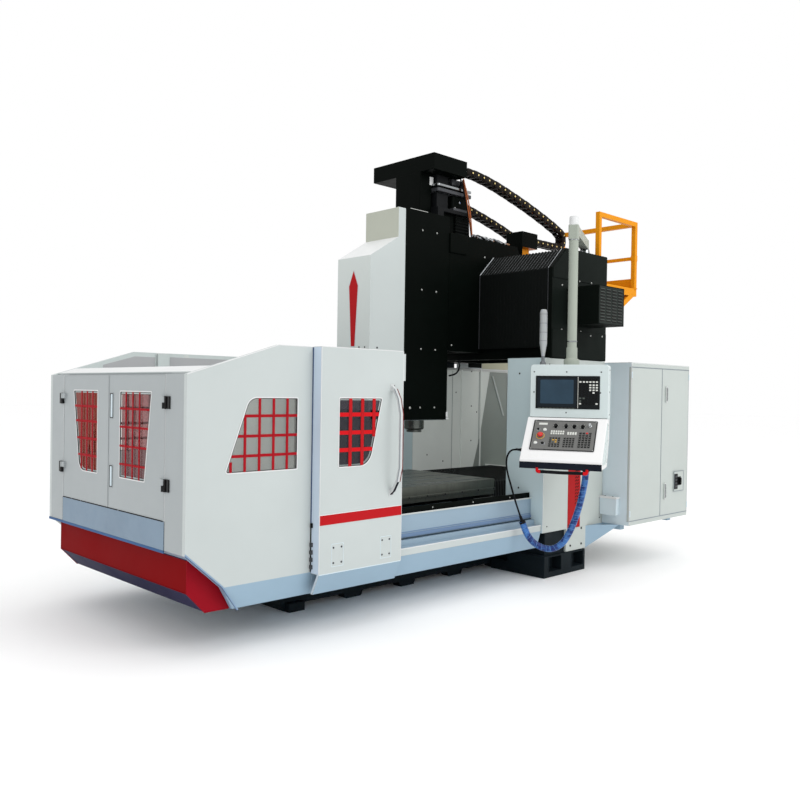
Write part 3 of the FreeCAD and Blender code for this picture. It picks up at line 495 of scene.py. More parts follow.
def skin(node, mats, width=1.5, seg=2, zone=None, angle=32, keep_bevel=True):
    """The node's own shape with merged faces and softened edges, in as many finishes as its regions need."""
    mats = mats if isinstance(mats, (list, tuple)) else [mats]
    src = NODES[node]
    body = src["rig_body"]
    bm = bmesh.new()
    bm.from_mesh(src.data)
    bmesh.ops.remove_doubles(bm, verts=bm.verts, dist=2e-5)
    bmesh.ops.dissolve_degenerate(bm, edges=bm.edges, dist=2e-5)
    bmesh.ops.dissolve_limit(bm, angle_limit=math.radians(0.6), use_dissolve_boundaries=False, verts=bm.verts, edges=bm.edges, delimit={"NORMAL"})
    bmesh.ops.recalc_face_normals(bm, faces=bm.faces)
    for f_ in bm.faces:
        c = f_.calc_center_median() / K
        f_.material_index = zone(c, f_.normal) if zone else 0
    me = bpy.data.meshes.new("skin_" + node)
    bm.to_mesh(me)
    bm.free()
    for mt in mats:
        me.materials.append(mt)
    me.shade_smooth()
    me.set_sharp_from_angle(angle=math.radians(50))
    o = bpy.data.objects.new("skin_" + node, me)
    SCENE.collection.objects.link(o)
    if width and keep_bevel:
        bv = o.modifiers.new("edges", "BEVEL")
        bv.limit_method = "ANGLE"
        bv.angle_limit = math.radians(angle)
        bv.width = width * K
        bv.segments = seg
        bv.use_clamp_overlap = True
    w = o.modifiers.new("normals", "WEIGHTED_NORMAL")
    w.keep_sharp = True
    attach(o, body)
    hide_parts(node)
    return o


# ------------------------------------------------------------------ cords
def route(name, pts, dia, mat, body, node):
    cu = bpy.data.curves.new(name, "CURVE")
    cu.dimensions = "3D"
    sp = cu.splines.new("NURBS")
    sp.points.add(len(pts) - 1)
    for q, p in enumerate(pts):
        sp.points[q].co = (p[0] * K, p[1] * K, p[2] * K, 1)
    sp.order_u = 3
    sp.use_endpoint_u = True
    sp.resolution_u = 10
    cu.bevel_depth = dia * K / 2
    cu.bevel_resolution = 5
    cu.use_fill_caps = True
    cu.materials.append(mat)
    o = bpy.data.objects.new(name, cu)
    SCENE.collection.objects.link(o)
    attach(o, body)
    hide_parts(node)
    return o


def centreline(obj):
    """Points along a cord's spline, in millimetres, as the curve itself gives them."""
    cu = obj.data.copy()
    cu.bevel_depth = 0
    t = bpy.data.objects.new("t", cu)
    SCENE.collection.objects.link(t)
    bpy.context.view_layer.update()
    me = bpy.data.meshes.new_from_object(t.evaluated_get(bpy.context.evaluated_depsgraph_get()))
    pts = [v.co / K for v in me.vertices]
    bpy.data.objects.remove(t)
    return pts


LEAD = [(354.4, -987, 1062), (334, -943, 1066), (298, -916, 1058), (268, -904, 1010), (260, -907, 940), (268, -920, 865),
        (286, -937, 786), (303, -951, 708), (318, -967, 640), (334, -985, 570), (350, -1001, 510)]
SLEEVE = [(350, -1001, 510), (371, -1018, 430), (408, -1052, 355), (460, -1104, 308), (522, -1163, 296), (575, -1215, 336),
          (612, -1253, 418), (645, -1285, 532), (671, -1311, 655), (690, -1330, 785), (696, -1337, 850), (700, -1341, 940)]
lead = route("lead_cord", LEAD, 14, CABLE, "pendant", "panel_lead")
sleeve = route("sleeve_hose", SLEEVE, 50, HOSE, "pendant", "hose_sleeve")


def along(pts, s):
    """Point and direction at distance s along a chain of points."""
    for a, b in zip(pts, pts[1:]):
        d = (b - a).length
        if s <= d or b is pts[-1]:
            return a + (b - a) * (min(s, d) / d), (b - a).normalized()
        s -= d


lpts, spts = centreline(lead), centreline(sleeve)
kt = Kit()
# strain relief and gland where the lead leaves the console, and the ferrule where it enters the sleeve
for s, prof in ((0, [(0, -4), (15, -4), (15, 6), (12, 8), (12, 18), (9.5, 22), (8.2, 50), (7.2, 52), (0, 52)]),):
    p, d = along(lpts, s)
    m4 = d.to_track_quat("Z", "Y").to_matrix().to_4x4()
    m4.translation = p
    kt.lathe(prof, CABLE, m4, 20)
gland = kt.make("lead_gland", "pendant")
kt = Kit()
p, d = along(lpts, 1e9)
m4 = d.to_track_quat("Z", "Y").to_matrix().to_4x4()
m4.translation = p
kt.lathe([(0, -46), (8.5, -46), (11, -40), (12, -12), (20, -4), (25.4, 2), (25.6, 16), (0, 16)], CABLE, m4, 24)
ferrule = kt.make("sleeve_ferrule", "pendant")
# a moulded spiral on the sleeve and the collar at the console
total = sum((b - a).length for a, b in zip(spts, spts[1:]))
helix = []
turns = 26
ref = None
steps = turns * 12
for q in range(steps + 1):
    p, d = along(spts, 16 + (total - 50) * q / steps)
    if ref is None:
        ref = d.orthogonal().normalized()
    ref = (ref - d * ref.dot(d)).normalized()
    a = 2 * math.pi * turns * q / steps + 0.9 * math.sin(q * 0.061) + 0.5 * math.sin(q * 0.143)
    helix.append(p + (ref * math.cos(a) + d.cross(ref) * math.sin(a)) * 24.9)
kt = Kit()
kt.tube(helix, 1.5, HOSELIGHT, 6)
spiral = kt.make("sleeve_spiral", "pendant", weighted=False)
kt = Kit()
p, d = along(spts, total - 4)
m4 = d.to_track_quat("Z", "Y").to_matrix().to_4x4()
m4.translation = p
kt.lathe([(0, -34), (25.5, -34), (28, -30), (28, -8), (33, -6), (33, 0), (0, 0)], CABLE, m4, 28)
collar = kt.make("sleeve_collar", "pendant")


# ------------------------------------------------------------------ the nodes' own shapes, with softened edges and finishes by region
def panel_zone(c, n):
    side = abs(c.y)
    # faces turned down and forward low on the panel get the bluish copy: painted shade
    if n.z < -0.2 and n.x < -0.2 and c.z < 620:
        return 3
    if c.z < 391:
        return 1
    return 2 if side < 896.5 and abs(n.y) > 0.5 else 0


skin("near_side_panel", [PAINT, SKIRT, INSIDE_GLOW, LOW_SHADE_BLUE], 2.0, 2, panel_zone)
skin("far_side_panel", [PAINT, SKIRT, INDEEP_GLOW], 2.0, 2, lambda c, n: 1 if c.z < 391 else (2 if (n.y < -0.5 and c.y < 897) else 0))
# the frame's top faces take the near-white: painted light from above
skin("front_frame", [END_SHADED_PAINT, FLAP, SILL, LIT_TOP], 2.0, 2,
     lambda c, n: 3 if n.z > 0.5 and c.z > 1500 else 1 if (abs(c.y) < 697 and 589 < c.z < 754 and c.x < -2490) else (2 if c.z < 600 else 0))
skin("near_end_door", END_SHADED_PAINT, 1.2, 2, lambda c, n: 0)
skin("far_end_door", END_SHADED_PAINT, 1.2, 2, None)
skin("sliding_door", [PAINT, SKIRT, ARM], 1.2, 2, lambda c, n: 1 if c.z < 384 else (2 if c.y > -1000.5 and 470 < c.z < 530 else 0))
skin("doorway_sill", [SILL, SKIRT, ARM], 1.5, 2, lambda c, n: 1 if c.z < 386 else 0)
# -X faces of the covers and the cabinet in bluish copies of their paint: painted shade tint
skin("column_covers", [CABINET, COVER_SHADE_SIDE], 1.2, 2, lambda c, n: 1 if n.x < -0.5 else 0)
# the cabinet's faces below z 372 take the skirt blue, a painted reflection on its support plate
skin("cabinet", [CABINET, CABSIDE, SKIRT], 2.0, 2, lambda c, n: (2 if c.y < -941 or c.x > 1326 else 0) if c.z < 372 else (1 if n.x < -0.5 else 0))
skin("cabinet_door_left", CABINET, 1.2, 2, None)
skin("cabinet_door_right", CABINET, 1.2, 2, None)
# one red sheet split by face direction: darker front, lighter ends and a dark underside are painted light and shade
skin("bow_bumper", [BOW_SHADED_RED, UNDER_SHADE, BOW_LIT_RED], 4, 3, lambda c, n: 1 if n.z < -0.35 or n.x > 0.3 else (2 if abs(n.y) > 0.6 else 0))
skin("rear_guard", [INSIDE_GLOW, PAINT], 1.5, 2, lambda c, n: 1 if abs(c.y) > 566 or c.x > 2598 else 0)
skin("end_door_hinges", DARKSCREW, 1, 2, None)
skin("guide_rails", STEEL, 1.2, 2, None)
skin("bed", BEDBLACK, 4, 2, None)
skin("near_column", BEDBLACK, 4, 2, None)
skin("far_column", BEDBLACK, 4, 2, None)
# the beam's end plates and the motor cover's front take lighter copies of the black: painted reflection
skin("crossbeam", [BLACK, BEAM_END_SHEEN], 2, 2, lambda c, n: 1 if abs(c.y) > 949 or (abs(c.y) > 943.9 and abs(n.y) > 0.9) else 0)
skin("y_motor_cover", [LOUVRE, LOUVRE_FRONT_SHEEN], 0.8, 1, lambda c, n: 1 if n.y < -0.5 and c.y < -1240 else 0)
skin("service_platform", ORANGE, 3, 2, None)
skin("arm_post", STEEL, 1, 2, None)
skin("x_servo_motor", MOTOR, 2, 2, None)
skin("y_servo_motor", MOTOR, 2, 2, None)
skin("table", IRON, 1.2, 2, None)
skin("table_carriages", BEDBLACK, 2, 2, None)
for n_ in ("x_ball_screw", "y_ball_screw", "z_ball_screw"):
    skin(n_, CHROME, 0, 2, None)
skin("saddle", SMOOTHBLACK, 2.5, 2, None)
skin("chain_box", [SMOOTHBLACK, ORANGE], 1.5, 2, lambda c, n: 1 if c.z < 2866 and c.x > 1390 else 0)
skin("ram", SMOOTHBLACK, 2.5, 2, None)
# one paint split by face direction: lighter -X faces, darker upper -X faces and near-white tops are painted light and
# shade
skin("head_fairing", [PAINT, FAIRING_LIT, FAIR_UPPER_SHADE, LIT_TOP], 2.5, 3, lambda c, n: 3 if n.z > 0.4 else (2 if n.x < -0.4 and c.z > 2560 else (1 if n.x < -0.4 else 0)))
skin("spindle_housing", DARKSTEEL, 0.8, 2, None)
skin("spindle", DARKSTEEL, 0.8, 2, None)
skin("spindle_motor", [SMOOTHBLACK], 3, 2, None)
skin("top_cap", SMOOTHBLACK, 2, 2, None)
skin("z_servo_motor", [MOTOR, MOTORGREY], 2.5, 2, lambda c, n: 1 if 3068 < c.z < 3093 or 3299 < c.z else 0)
# the handle's down-facing lower faces in navy: painted shade under it
skin("door_handle", [HANDLE, NAVY], 6, 3, lambda c, n: 1 if c.z < 930 and n.z < -0.15 else 0)
skin("pendant_arm", [ARM, WHITE], 2.5, 2, lambda c, n: 1 if c.z > 2838 else 0)
kt = Kit(PEN)
kt.tube([(-158, -400, 912), (5, -400, 910), (168, -400, 912)], 12.5, CABLE, 24)
for s_, x0 in ((-1, -176), (1, 186)):
    kt.tube([(x0 - s_ * 22, -400, 912), (x0 - s_ * 10, -400, 911), (x0, -400, 913), (x0 + s_ * 5, -399, 920), (x0 + s_ * 6, -397, 930), (x0 + s_ * 6, -396, 941)], [13.5, 13.5, 13, 12, 11.5, 11.5], BRIGHTRED, 20)
    kt.lathe([(0, 0), (15, 0), (15, 4), (12, 5), (0, 5)], BRIGHTRED, Matrix.Translation((x0 + s_ * 6, -396, 936)), 24)
kt.make("skin_pendant_handle", "pendant", replaces=("pendant_handle",))
skin("breaker_knob", KNOB, 1.2, 2, None)
skin("feed_knob", KNOB, 1.0, 2, None)
skin("spindle_knob", KNOB, 1.0, 2, None)
skin("e_stop", STOP, 1.2, 3, None)
skin("operator_panel", [PANELGREY, RING], 1.0, 2, None)
for n_ in ("near_side_window", "near_end_window", "far_end_window", "sliding_door_window"):
    skin(n_, {"far_end_window": GLASSRED, "near_end_window": GLASSROSE, "near_side_window": GLASSCLEAR}.get(n_, GLASSDARK), 0.8, 1, None)

# ------------------------------------------------------------------ bellows: folded cloth with light fold crests, painted highlights
def pleated(name, a, b, pitch, amp, ring_at, mat, highlight_mat, lit=0):
    """A folded sheet: ring_at(position, depth) gives its closed section, folds lie across the travel."""
    n = max(4, round(abs(b - a) / pitch))
    bm = bmesh.new()
    rings = []
    for q in range(2 * n + 1):
        s = a + (b - a) * q / (2 * n)
        rings.append([bm.verts.new(Vector(p) * K) for p in ring_at(s, amp if q % 2 else 0)])
    m = len(rings[0])
    for x, y in zip(rings, rings[1:]):
        for k in range(m):
            w = (k + 1) % m
            bm.faces.new((x[k], x[w], y[w], y[k]))
    bm.faces.new(rings[0])
    bm.faces.new(rings[-1][::-1])
    bmesh.ops.recalc_face_normals(bm, faces=bm.faces)
    edges = [e for e in bm.edges if len(e.link_faces) == 2 and e.calc_face_angle(0) > math.radians(25)]
    bmesh.ops.bevel(bm, geom=edges, offset=0.9 * K, segments=1, affect="EDGES", profile=0.5, clamp_overlap=True)
    # small bevel faces on the crests above the height lit take the light grey: painted highlights
    for f_ in bm.faces:
        f_.material_index = 1 if f_.calc_area() < 2.4e-6 * 900 and min(e.calc_length() for e in f_.edges) < 2.2 * K and f_.calc_center_median().z > lit * K else 0
    me = bpy.data.meshes.new(name)
    bm.to_mesh(me)
    bm.free()
    me.materials.append(mat)
    me.materials.append(highlight_mat)
    o = bpy.data.objects.new(name, me)
    SCENE.collection.objects.link(o)
    return o


def u_ring(x, d):
    """The bed's bellows: an upside-down U, folds going in by d."""
    o = [(-490 + d, 627), (-490 + d, 764 - d), (490 - d, 764 - d), (490 - d, 627)]
    i = [(480 - d, 627), (480 - d, 755 - d), (-480 + d, 755 - d), (-480 + d, 627)]
    return [(x, y, z) for y, z in o + i]


for nm, a, b, nd, s_, e_ in (("bellows_bed_front", -1477, -884, "x_bellows_front", -1.47, -0.885), ("bellows_bed_rear", 624, 1758, "x_bellows_rear", 1.75, 0.63)):
    o = pleated(nm, a, b, 22, 7, u_ring, RUBBER, CREST_HIGHLIGHT)
    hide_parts(nd)
    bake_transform(o)


def beam_ring(y, d):
    """The beam's bellows: upright in front, leaning back along the chamfer."""
    c = d * 0.7071
    return [(x, y, z) for x, z in ((774 + d * 0.12, 1882), (791, 1882), (791, 2526 - 2), (967, 2693), (956 + c, 2705 - c), (774 + d, 2532 - d * 0.4), (774 + d * 0.12, 2524 - d * 0.4))]


for nm, a, b, nd, s_, e_ in (("bellows_beam_near", -902, -174, "y_bellows_near", -0.9, -0.176), ("bellows_beam_far", 224, 902, "y_bellows_far", 0.9, 0.226)):
    o = pleated(nm, a, b, 33, 10, beam_ring, RUBBER, CREST_HIGHLIGHT, 2545)
    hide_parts(nd)
    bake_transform(o)

# light end strips of the beam's bellows
for nm, y0, y1, body in (("bellows_end_near_saddle", -178, -171.5, "saddle"), ("bellows_end_far_saddle", 221.5, 228, "saddle"),
                         ("bellows_end_near_beam", -904.5, -899, "frame"), ("bellows_end_far_beam", 899, 904.5, "frame")):
    kt = Kit()
    kt.prism("XZ", y0, y1, [(770.5, 2531), (775, 2529), (960, 2706.5), (954.5, 2709.5)], OUTLINE, 0.8, 1)
    kt.prism("XZ", y0, y1, [(770.5, 1884), (774, 1884), (774, 2530), (770.5, 2531)], MOTORGREY, 0.8, 1)
    kt.make(nm, body)


# ------------------------------------------------------------------ cable chains: links with brass pins
def chain(name, run, zlow, xend, y0, y1, half, node, pitch=73.0):
    pts = [Vector((x, 0, z)) for x, z in run]
    x1, z1 = run[-1]
    k = math.atan2(run[-1][1] - run[-2][1], run[-1][0] - run[-2][0])
    mid, rad = (z1 + zlow) / 2, (z1 - zlow) / 2
    for q in range(1, 13):
        t = math.pi / 2 + k * (1 - q / 12) - math.pi * q / 12
        pts.append(Vector((x1 + math.cos(t) * rad, 0, mid + math.sin(t) * rad)))
    pts.append(Vector((xend, 0, zlow)))
    tot = sum((b - a).length for a, b in zip(pts, pts[1:]))
    kt = Kit()
    n = int(tot // pitch)
    pitch = tot / n
    ym = (y0 + y1) / 2
    prev = None
    for q in range(n):
        pa, _ = along(pts, q * pitch)
        pb, _ = along(pts, (q + 1) * pitch)
        d = (pb - pa)
        ln = d.length
        ang = math.atan2(d.z, d.x)
        M = Matrix.Translation(((pa.x + pb.x) / 2, ym, (pa.z + pb.z) / 2)) @ Matrix.Rotation(-ang, 4, "Y")
        w = (y1 - y0) / 2
        h = half - 1.5
        off = 0 if q % 2 else 3.2
        # two side plates with rounded ends, top and bottom bars, and the pin at the joint
        prof = [(-ln / 2 - 15, -h * 0.55, 14), (-ln / 2 + 6, -h, 8), (ln / 2 - 6, -h, 8), (ln / 2 + 15, -h * 0.55, 14),
                (ln / 2 + 15, h * 0.55, 14), (ln / 2 - 6, h, 8), (-ln / 2 + 6, h, 8), (-ln / 2 - 15, h * 0.55, 14)]
        if q == 0:
            prof = [(-ln / 2 + 1, -h, 2), (ln / 2 - 6, -h, 8), (ln / 2 + 15, -h * 0.55, 14), (ln / 2 + 15, h * 0.55, 14), (ln / 2 - 6, h, 8), (-ln / 2 + 1, h, 2)]
        if q == n - 1:
            prof = [(-ln / 2 - 15, -h * 0.55, 14), (-ln / 2 + 6, -h, 8), (ln / 2 - 1, -h, 2), (ln / 2 - 1, h, 2), (-ln / 2 + 6, h, 8), (-ln / 2 - 15, h * 0.55, 14)]
        kt.prism("XZ", -w + off, -w + off + 3.4, prof, CHAIN, 0.7, 1, M, 3)
        kt.prism("XZ", w - off - 3.4, w - off, prof, CHAIN, 0.7, 1, M, 3)
        for zz in (-h, h - 4):
            kt.box(-ln / 4, ln / 4, -w + 3, w - 3, zz, zz + 4, CHAIN, 1, 1, M)
        if q:
            pin = Matrix.Translation((pa.x, y0, pa.z)) @ Matrix.Rotation(math.pi / 2, 4, "X")
            kt.lathe([(0, 1.0), (6, 1.0), (8.2, -0.2), (8.2, -3), (0, -3)], GOLD, pin, 10)
            pin = Matrix.Translation((pa.x, y1, pa.z)) @ Matrix.Rotation(-math.pi / 2, 4, "X")
            kt.lathe([(0, 1.0), (6, 1.0), (8.2, -0.2), (8.2, -3), (0, -3)], GOLD, pin, 10)
    # the cables and hoses inside
    inner = [Vector((p.x, ym, p.z)) for p in pts]
    for dy, dz, rr, mt in ((-30, 7, 7, CABLE), (-14, -6, 9, CABLE), (4, 6, 8, CABLE), (18, 7, 6, COPPER), (31, -6, 8, CABLE), (-28, -10, 5, HOSE)):
        kt.tube([p + Vector((0, dy, dz)) for p in inner], rr, mt, 8)
    o = kt.make(name, None, (node,), weighted=False)
    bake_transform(o)
    return o


Z_RUN = [(596, 3414), (764, 3405), (924, 3384), (1083, 3354), (1236, 3319), (1394, 3281), (1541, 3243), (1687, 3201), (1842, 3154), (1985, 3104)]
AIR_RUN = [(596, 3288), (760, 3271), (920, 3251), (1076, 3229), (1225, 3199), (1374, 3167), (1521, 3132), (1660, 3095), (1800, 3052), (1930, 3006)]
chain("chain_upper", Z_RUN, 2940, 1480, -165, -72, 30, "z_chain")
chain("chain_air", AIR_RUN, 2882, 1470, 230, 322, 30, "air_chain")

# ------------------------------------------------------------------ windows: rubber seals, light trims and red grids
def inside(p, poly):
    x, y = p
    hit = False
    for q in range(len(poly)):
        (x1, y1), (x2, y2) = poly[q - 1], poly[q]
        if (y1 > y) != (y2 > y) and x < (x2 - x1) * (y - y1) / (y2 - y1) + x1:
            hit = not hit
    return hit


def spans(poly, axis, at):
    """Where a line across the outline lies inside it."""
    cuts = []
    for q in range(len(poly)):
        a, b = poly[q - 1], poly[q]
        u, v = (a[axis], b[axis])
        if (u > at) != (v > at):
            t = (at - u) / (v - u)
            cuts.append(a[1 - axis] + t * (b[1 - axis] - a[1 - axis]))
    cuts.sort()
    return list(zip(cuts[::2], cuts[1::2]))


def clipped(poly, axis, at, wide):
    """The part of a bar of this width that stays inside the outline on both of its edges."""
    low, high = spans(poly, axis, at - wide / 2), spans(poly, axis, at + wide / 2)
    if not low or not high:
        return []
    return [(max(low[0][0], high[0][0]), min(low[0][1], high[0][1]))]


def window(name, plane, face, out, loop, bars_u, bars_v, body, wide, depth, ured=RED, vred=RED):
    """Trim, seal and grid of a window: face is the sheet's outer side, out the way it faces (+1 or -1)."""
    pts = corner_loop(loop, 8)
    kt = Kit()
    a, b = sorted((face - out * 0.5, face + out * 2.2))
    kt.ring(plane, a, b, shrink(pts, -7), shrink(pts, 0.6), WHITE, 0.7)
    a, b = sorted((face - out * 4.2, face + out * 0.8))
    kt.ring(plane, a, b, shrink(pts, 0.4), shrink(pts, 4.5), FOAM, 0.5)
    kt.make(name + "_trim", body)
    kt = Kit()
    inner = shrink(pts, 0.5)
    for at in bars_u:
        for lo, hi in clipped(inner, 0, at, wide):
            c0, c1 = sorted((face - out * (depth - 4.5), face - out * depth))
            if hi - lo > wide:
                prof = [(at - wide / 2, lo), (at + wide / 2, lo), (at + wide / 2, hi), (at - wide / 2, hi)]
                kt.prism(plane, c0, c1, prof, ured, 1.2, 2)
    for at in bars_v:
        for lo, hi in clipped(inner, 1, at, wide):
            c0, c1 = sorted((face - out * (depth - 2.5), face - out * (depth + 2)))
            if hi - lo > wide:
                prof = [(lo, at - wide / 2), (hi, at - wide / 2), (hi, at + wide / 2), (lo, at + wide / 2)]
                kt.prism(plane, c0, c1, prof, vred, 1.2, 2)
    kt.make(name + "_grid", body)


NEAR_WIN = [(-2264, 1028, 10), (-1771, 1028, 6), (-1771, 1450, 6), (-2110, 1450, 70)]
DOOR_WIN = [(-1510, 1030, 8), (-1258, 1030, 100), (-1155, 1453, 8), (-1510, 1453, 8)]
NEAR_PANE = [(-533, 1473, 5), (-457, 957, 5), (-143, 957, 5), (-143, 1473, 5)]
FAR_PANE = [(172, 1473, 5), (172, 957, 5), (436, 957, 80), (531, 1473, 5)]
window("side_window", "XZ", -925, -1, NEAR_WIN, [-2233, -2140, -2042, -1944, -1846], [1347, 1232, 1119], "frame", 17, 1.0, GRIDRED, GRIDRED)
window("far_side_window", "XZ", 925, 1, NEAR_WIN, [-2233, -2140, -2042, -1944, -1846], [1347, 1232, 1119], "frame", 17, 1.0, GRIDRED, GRIDRED)
kt = Kit()
kt.prism("XZ", 908, 914, shrink(corner_loop(NEAR_WIN, 8), 0.6), GLASSCLEAR, 0.8, 1)
kt.make("far_side_pane", "frame")
# the horizontal bars take a brighter red than the upright ones: painted light on one red grid
window("door_window", "XZ", -1005, -1, DOOR_WIN, [-1424, -1325, -1227], [1352, 1240, 1133], "sliding_door", 25, -2.0, RED, BRIGHTRED)
window("near_end_window", "YZ", -2511, -1, NEAR_PANE, [-227, -313, -398], [1372, 1262, 1147, 1037], "near_end_door", 13, -1.5, GRIDRED, GRIDRED)
window("far_end_window", "YZ", -2511, -1, FAR_PANE, [236, 318, 400], [1374, 1278, 1167, 1058], "far_end_door", 15, -1.5, GRIDRED, GRIDRED)

# ------------------------------------------------------------------ end doors: recessed pulls, hinge leaves, fold lines, flap seam
kt = Kit()
for z0, z1 in ((1309, 1463), (885, 1020)):
    m_ = (z0 + z1) / 2
    kt.ring("YZ", -2513.5, -2510.5, corner_loop([(-54, z0 - 5, 12), (1, z0 - 5, 12), (1, z1 + 5, 12), (-54, z1 + 5, 12)], 6),
            corner_loop([(-50, z0, 8), (-3, z0, 8), (-3, z1, 8), (-50, z1, 8)], 6), END_SHADED_PAINT, 0.8)
    kt.prism("YZ", -2512, -2510.8, [(-51, z0 - 1, 8), (-2, z0 - 1, 8), (-2, z1 + 1, 8), (-51, z1 + 1, 8)], DARKSCREW, 0.3, 1)
    kt.prism("YZ", -2516, -2511.5, [(-42, z0 + 6, 6), (-20, z0 + 6, 6), (-20, z1 - 6, 6), (-42, z1 - 6, 6)], CABSIDE, 1.5, 2)
kt.make("end_door_pulls", "near_end_door")
kt = Kit()
for s in (-1, 1):
    for z in (922, 1384):
        a, b = (700, 724) if s > 0 else (-724, -700)
        kt.prism("YZ", -2524, -2518.5, [(a, z - 1, 4), (b, z - 1, 4), (b, z + 71, 4), (a, z + 71, 4)], SLOTDARK, 1.2, 2)
        for zz in (z + 12, z + 58):
            kt.screw((-2523.6, (a + b) / 2, zz), (-1, 0, 0), DARKSCREW, 4.5, 2)
kt.make("hinge_leaves_frame", "frame")
for s, body in ((-1, "near_end_door"), (1, "far_end_door")):
    kt = Kit()
    # folded rim of the door leaf
    a, b = (16, 692) if s > 0 else (-692, 8)
    kt.ring("YZ", -2512.4, -2510.6, [(a, 758), (b, 758), (b, 1574), (a, 1574)], [(a + 5, 763), (b - 5, 763), (b - 5, 1569), (a + 5, 1569)], END_SHADED_PAINT, 0.5)
    kt.make(body + "_rim", body)
kt = Kit()
# broken gap along the chip flap's top and its folded edge
for y0, y1 in ((560, 690), (420, 545), (-120, 405), (-680, -140)):
    kt.box(-2513.6, -2510.6, y0, y1, 752, 758, SLOTDARK, 0.5, 1)
# the flap itself, its dark ends, the ledge under it and the folded edge of the side panel
kt.box(-2512.8, -2510.6, -695, 695, 592, 751, FLAP, 0.8, 1)
for s in (-1, 1):
    kt.box(-2512.2, -2510.4, min(695 * s, 699 * s), max(695 * s, 699 * s), 592, 754, DARKSCREW, 0.3, 1)
kt.box(-2515, -2509, -697, 924, 576, 592, LEDGE, 1.5, 2)
# the folded front edge in the bluish copy of the paint: painted shade
kt.prism("XZ", -926.2, -924.6, [(-2511, 593), (-2280, 390), (-2182, 249), (-2167.4, 249), (-2271, 398.1), (-2511, 609)], LOW_SHADE_BLUE, 0.4, 1)
# thin dark blue line along the fold: painted shade in the crease
kt.prism("XZ", -926.6, -924.6, [(-2511, 593), (-2280, 390), (-2182, 249), (-2177.1, 249), (-2277, 392.7), (-2511, 598.3)], SEAM_SHADE, 0.3, 1)
kt.make("chip_flap_seam", "frame")
kt = Kit()
for s in (-1, 1):
    y = 697 * s
    kt.box(-2512.2, -2510.8, y - 1.5, y + 1.5, 594, 1576, WHITE, 0.4, 1)
# rolled edge along the hood's top and the side panels' top edges
kt.tube([(-2474, -893, 1587), (-2474, 893, 1587)], 5, PAINT, 10)
kt.tube([(-2349, -893, 1624), (-2349, 893, 1624)], 4, PAINT, 8)
for s in (-1, 1):
    y = s * 923
    kt.tube([(-2509, y, 1576), (-1912, y, 1762), (-1640, y, 1762)], 3.2, WHITE, 8)
kt.make("hood_edges", "frame")

# ------------------------------------------------------------------ sliding door: stripe, screws, folded edge, handle feet and its red line
kt = Kit()
kt.prism("XZ", -1006.6, -1004.4, [(-1653, 681), (-966, 686), (-966, 747), (-1653, 741)], RED, 0.5, 1)
kt.prism("XZ", -1005.8, -1004.4, [(-1653, 741), (-966, 747), (-966, 752), (-1653, 746)], WHITE, 0.3, 1)
kt.make("door_stripe", "sliding_door")
kt = Kit()
for x0, z0 in ((-1542, 443), (-1135, 443)):
    kt.ring("XZ", -1006.2, -1004.6, corner_loop([(x0 - 16, z0 - 24, 4), (x0 + 80, z0 - 24, 4), (x0 + 80, z0 + 118, 4), (x0 - 16, z0 + 118, 4)], 3),
            corner_loop([(x0 - 13, z0 - 21, 3), (x0 + 77, z0 - 21, 3), (x0 + 77, z0 + 115, 3), (x0 - 13, z0 + 115, 3)], 3), CABSIDE, 0.3)
    for dx in (0, 64):
        for dz in (0, 94):
            kt.screw((x0 + dx, -1005, z0 + dz), (0, -1, 0), MOTORGREY, 6.5, 3)
# rim of the leaf
kt.box(-1656, -1652, -1006.5, -1000, 384, 1764, WHITE, 1.2, 2)
kt.box(-968, -963.5, -1006.5, -1000, 384, 1764, WHITE, 1.2, 2)
kt.tube([(-1653, -1003, 1764), (-967, -1003, 1764)], 2.8, WHITE, 8)
kt.box(-1654, -966, -1006, -1003, 379, 385, CABSIDE, 1, 1)
# the door's -X edge and the return of its lower fold in pale blue tints: painted shade
kt.box(-1656.8, -1654.6, -1001, -931, 386, 1762, RIM_SHADE_BLUE, 0.5, 1)
kt.prism("YZ", -1657, -1654.6, [(-1004, 386), (-943, 257), (-930, 257), (-990, 386)], FOLDLIGHT, 0.5, 1)
kt.make("door_fittings", "sliding_door")
kt = Kit()
edge = [(-1053.5, -1041, 1516), (-1053.5, -1079, 1452), (-1053.5, -1100.5, 1357), (-1053.5, -1100.5, 1010), (-1053.5, -1079, 916)]
smooth = []
for q in range(len(edge) - 1):
    for k in range(6):
        t = k / 6
        smooth.append(tuple(edge[q][j] * (1 - t) + edge[q + 1][j] * t for j in range(3)))
smooth.append(edge[-1])
kt.tube(smooth, 2.6, EDGERED, 8)
# grey line along the handle's inner side: painted shade
kt.tube([(-1077, q_[1] + 3, q_[2]) for q_ in smooth], 2.8, SEAMGREY, 8)
for z in (842, 1525):
    kt.box(-1084, -1046, -1009, -1004, z - 22, z + 22, HANDLE, 2, 2)
    for zz in (z - 13, z + 13):
        kt.screw((-1050, -1009, zz), (0, -1, 0), MOTORGREY, 3.5, 2)
kt.make("handle_feet", "sliding_door")
kt = Kit()
# rollers on the sill's rail, with their axles
for x in (-1570, -1050):
    for dx in (-18, 18):
        Mw = Matrix.Translation((x + dx, -850, 488)) @ Matrix.Rotation(math.pi / 2, 4, "X")
        kt.lathe([(0, -12), (16, -12), (18, -9), (13.5, -3), (13.5, 3), (18, 9), (16, 12), (0, 12)], STEEL, Mw, 20)
        kt.lathe([(0, -15), (6, -15), (6, 15), (0, 15)], DARKSCREW, Mw, 12)
kt.make("door_rollers", "sliding_door")
kt = Kit()
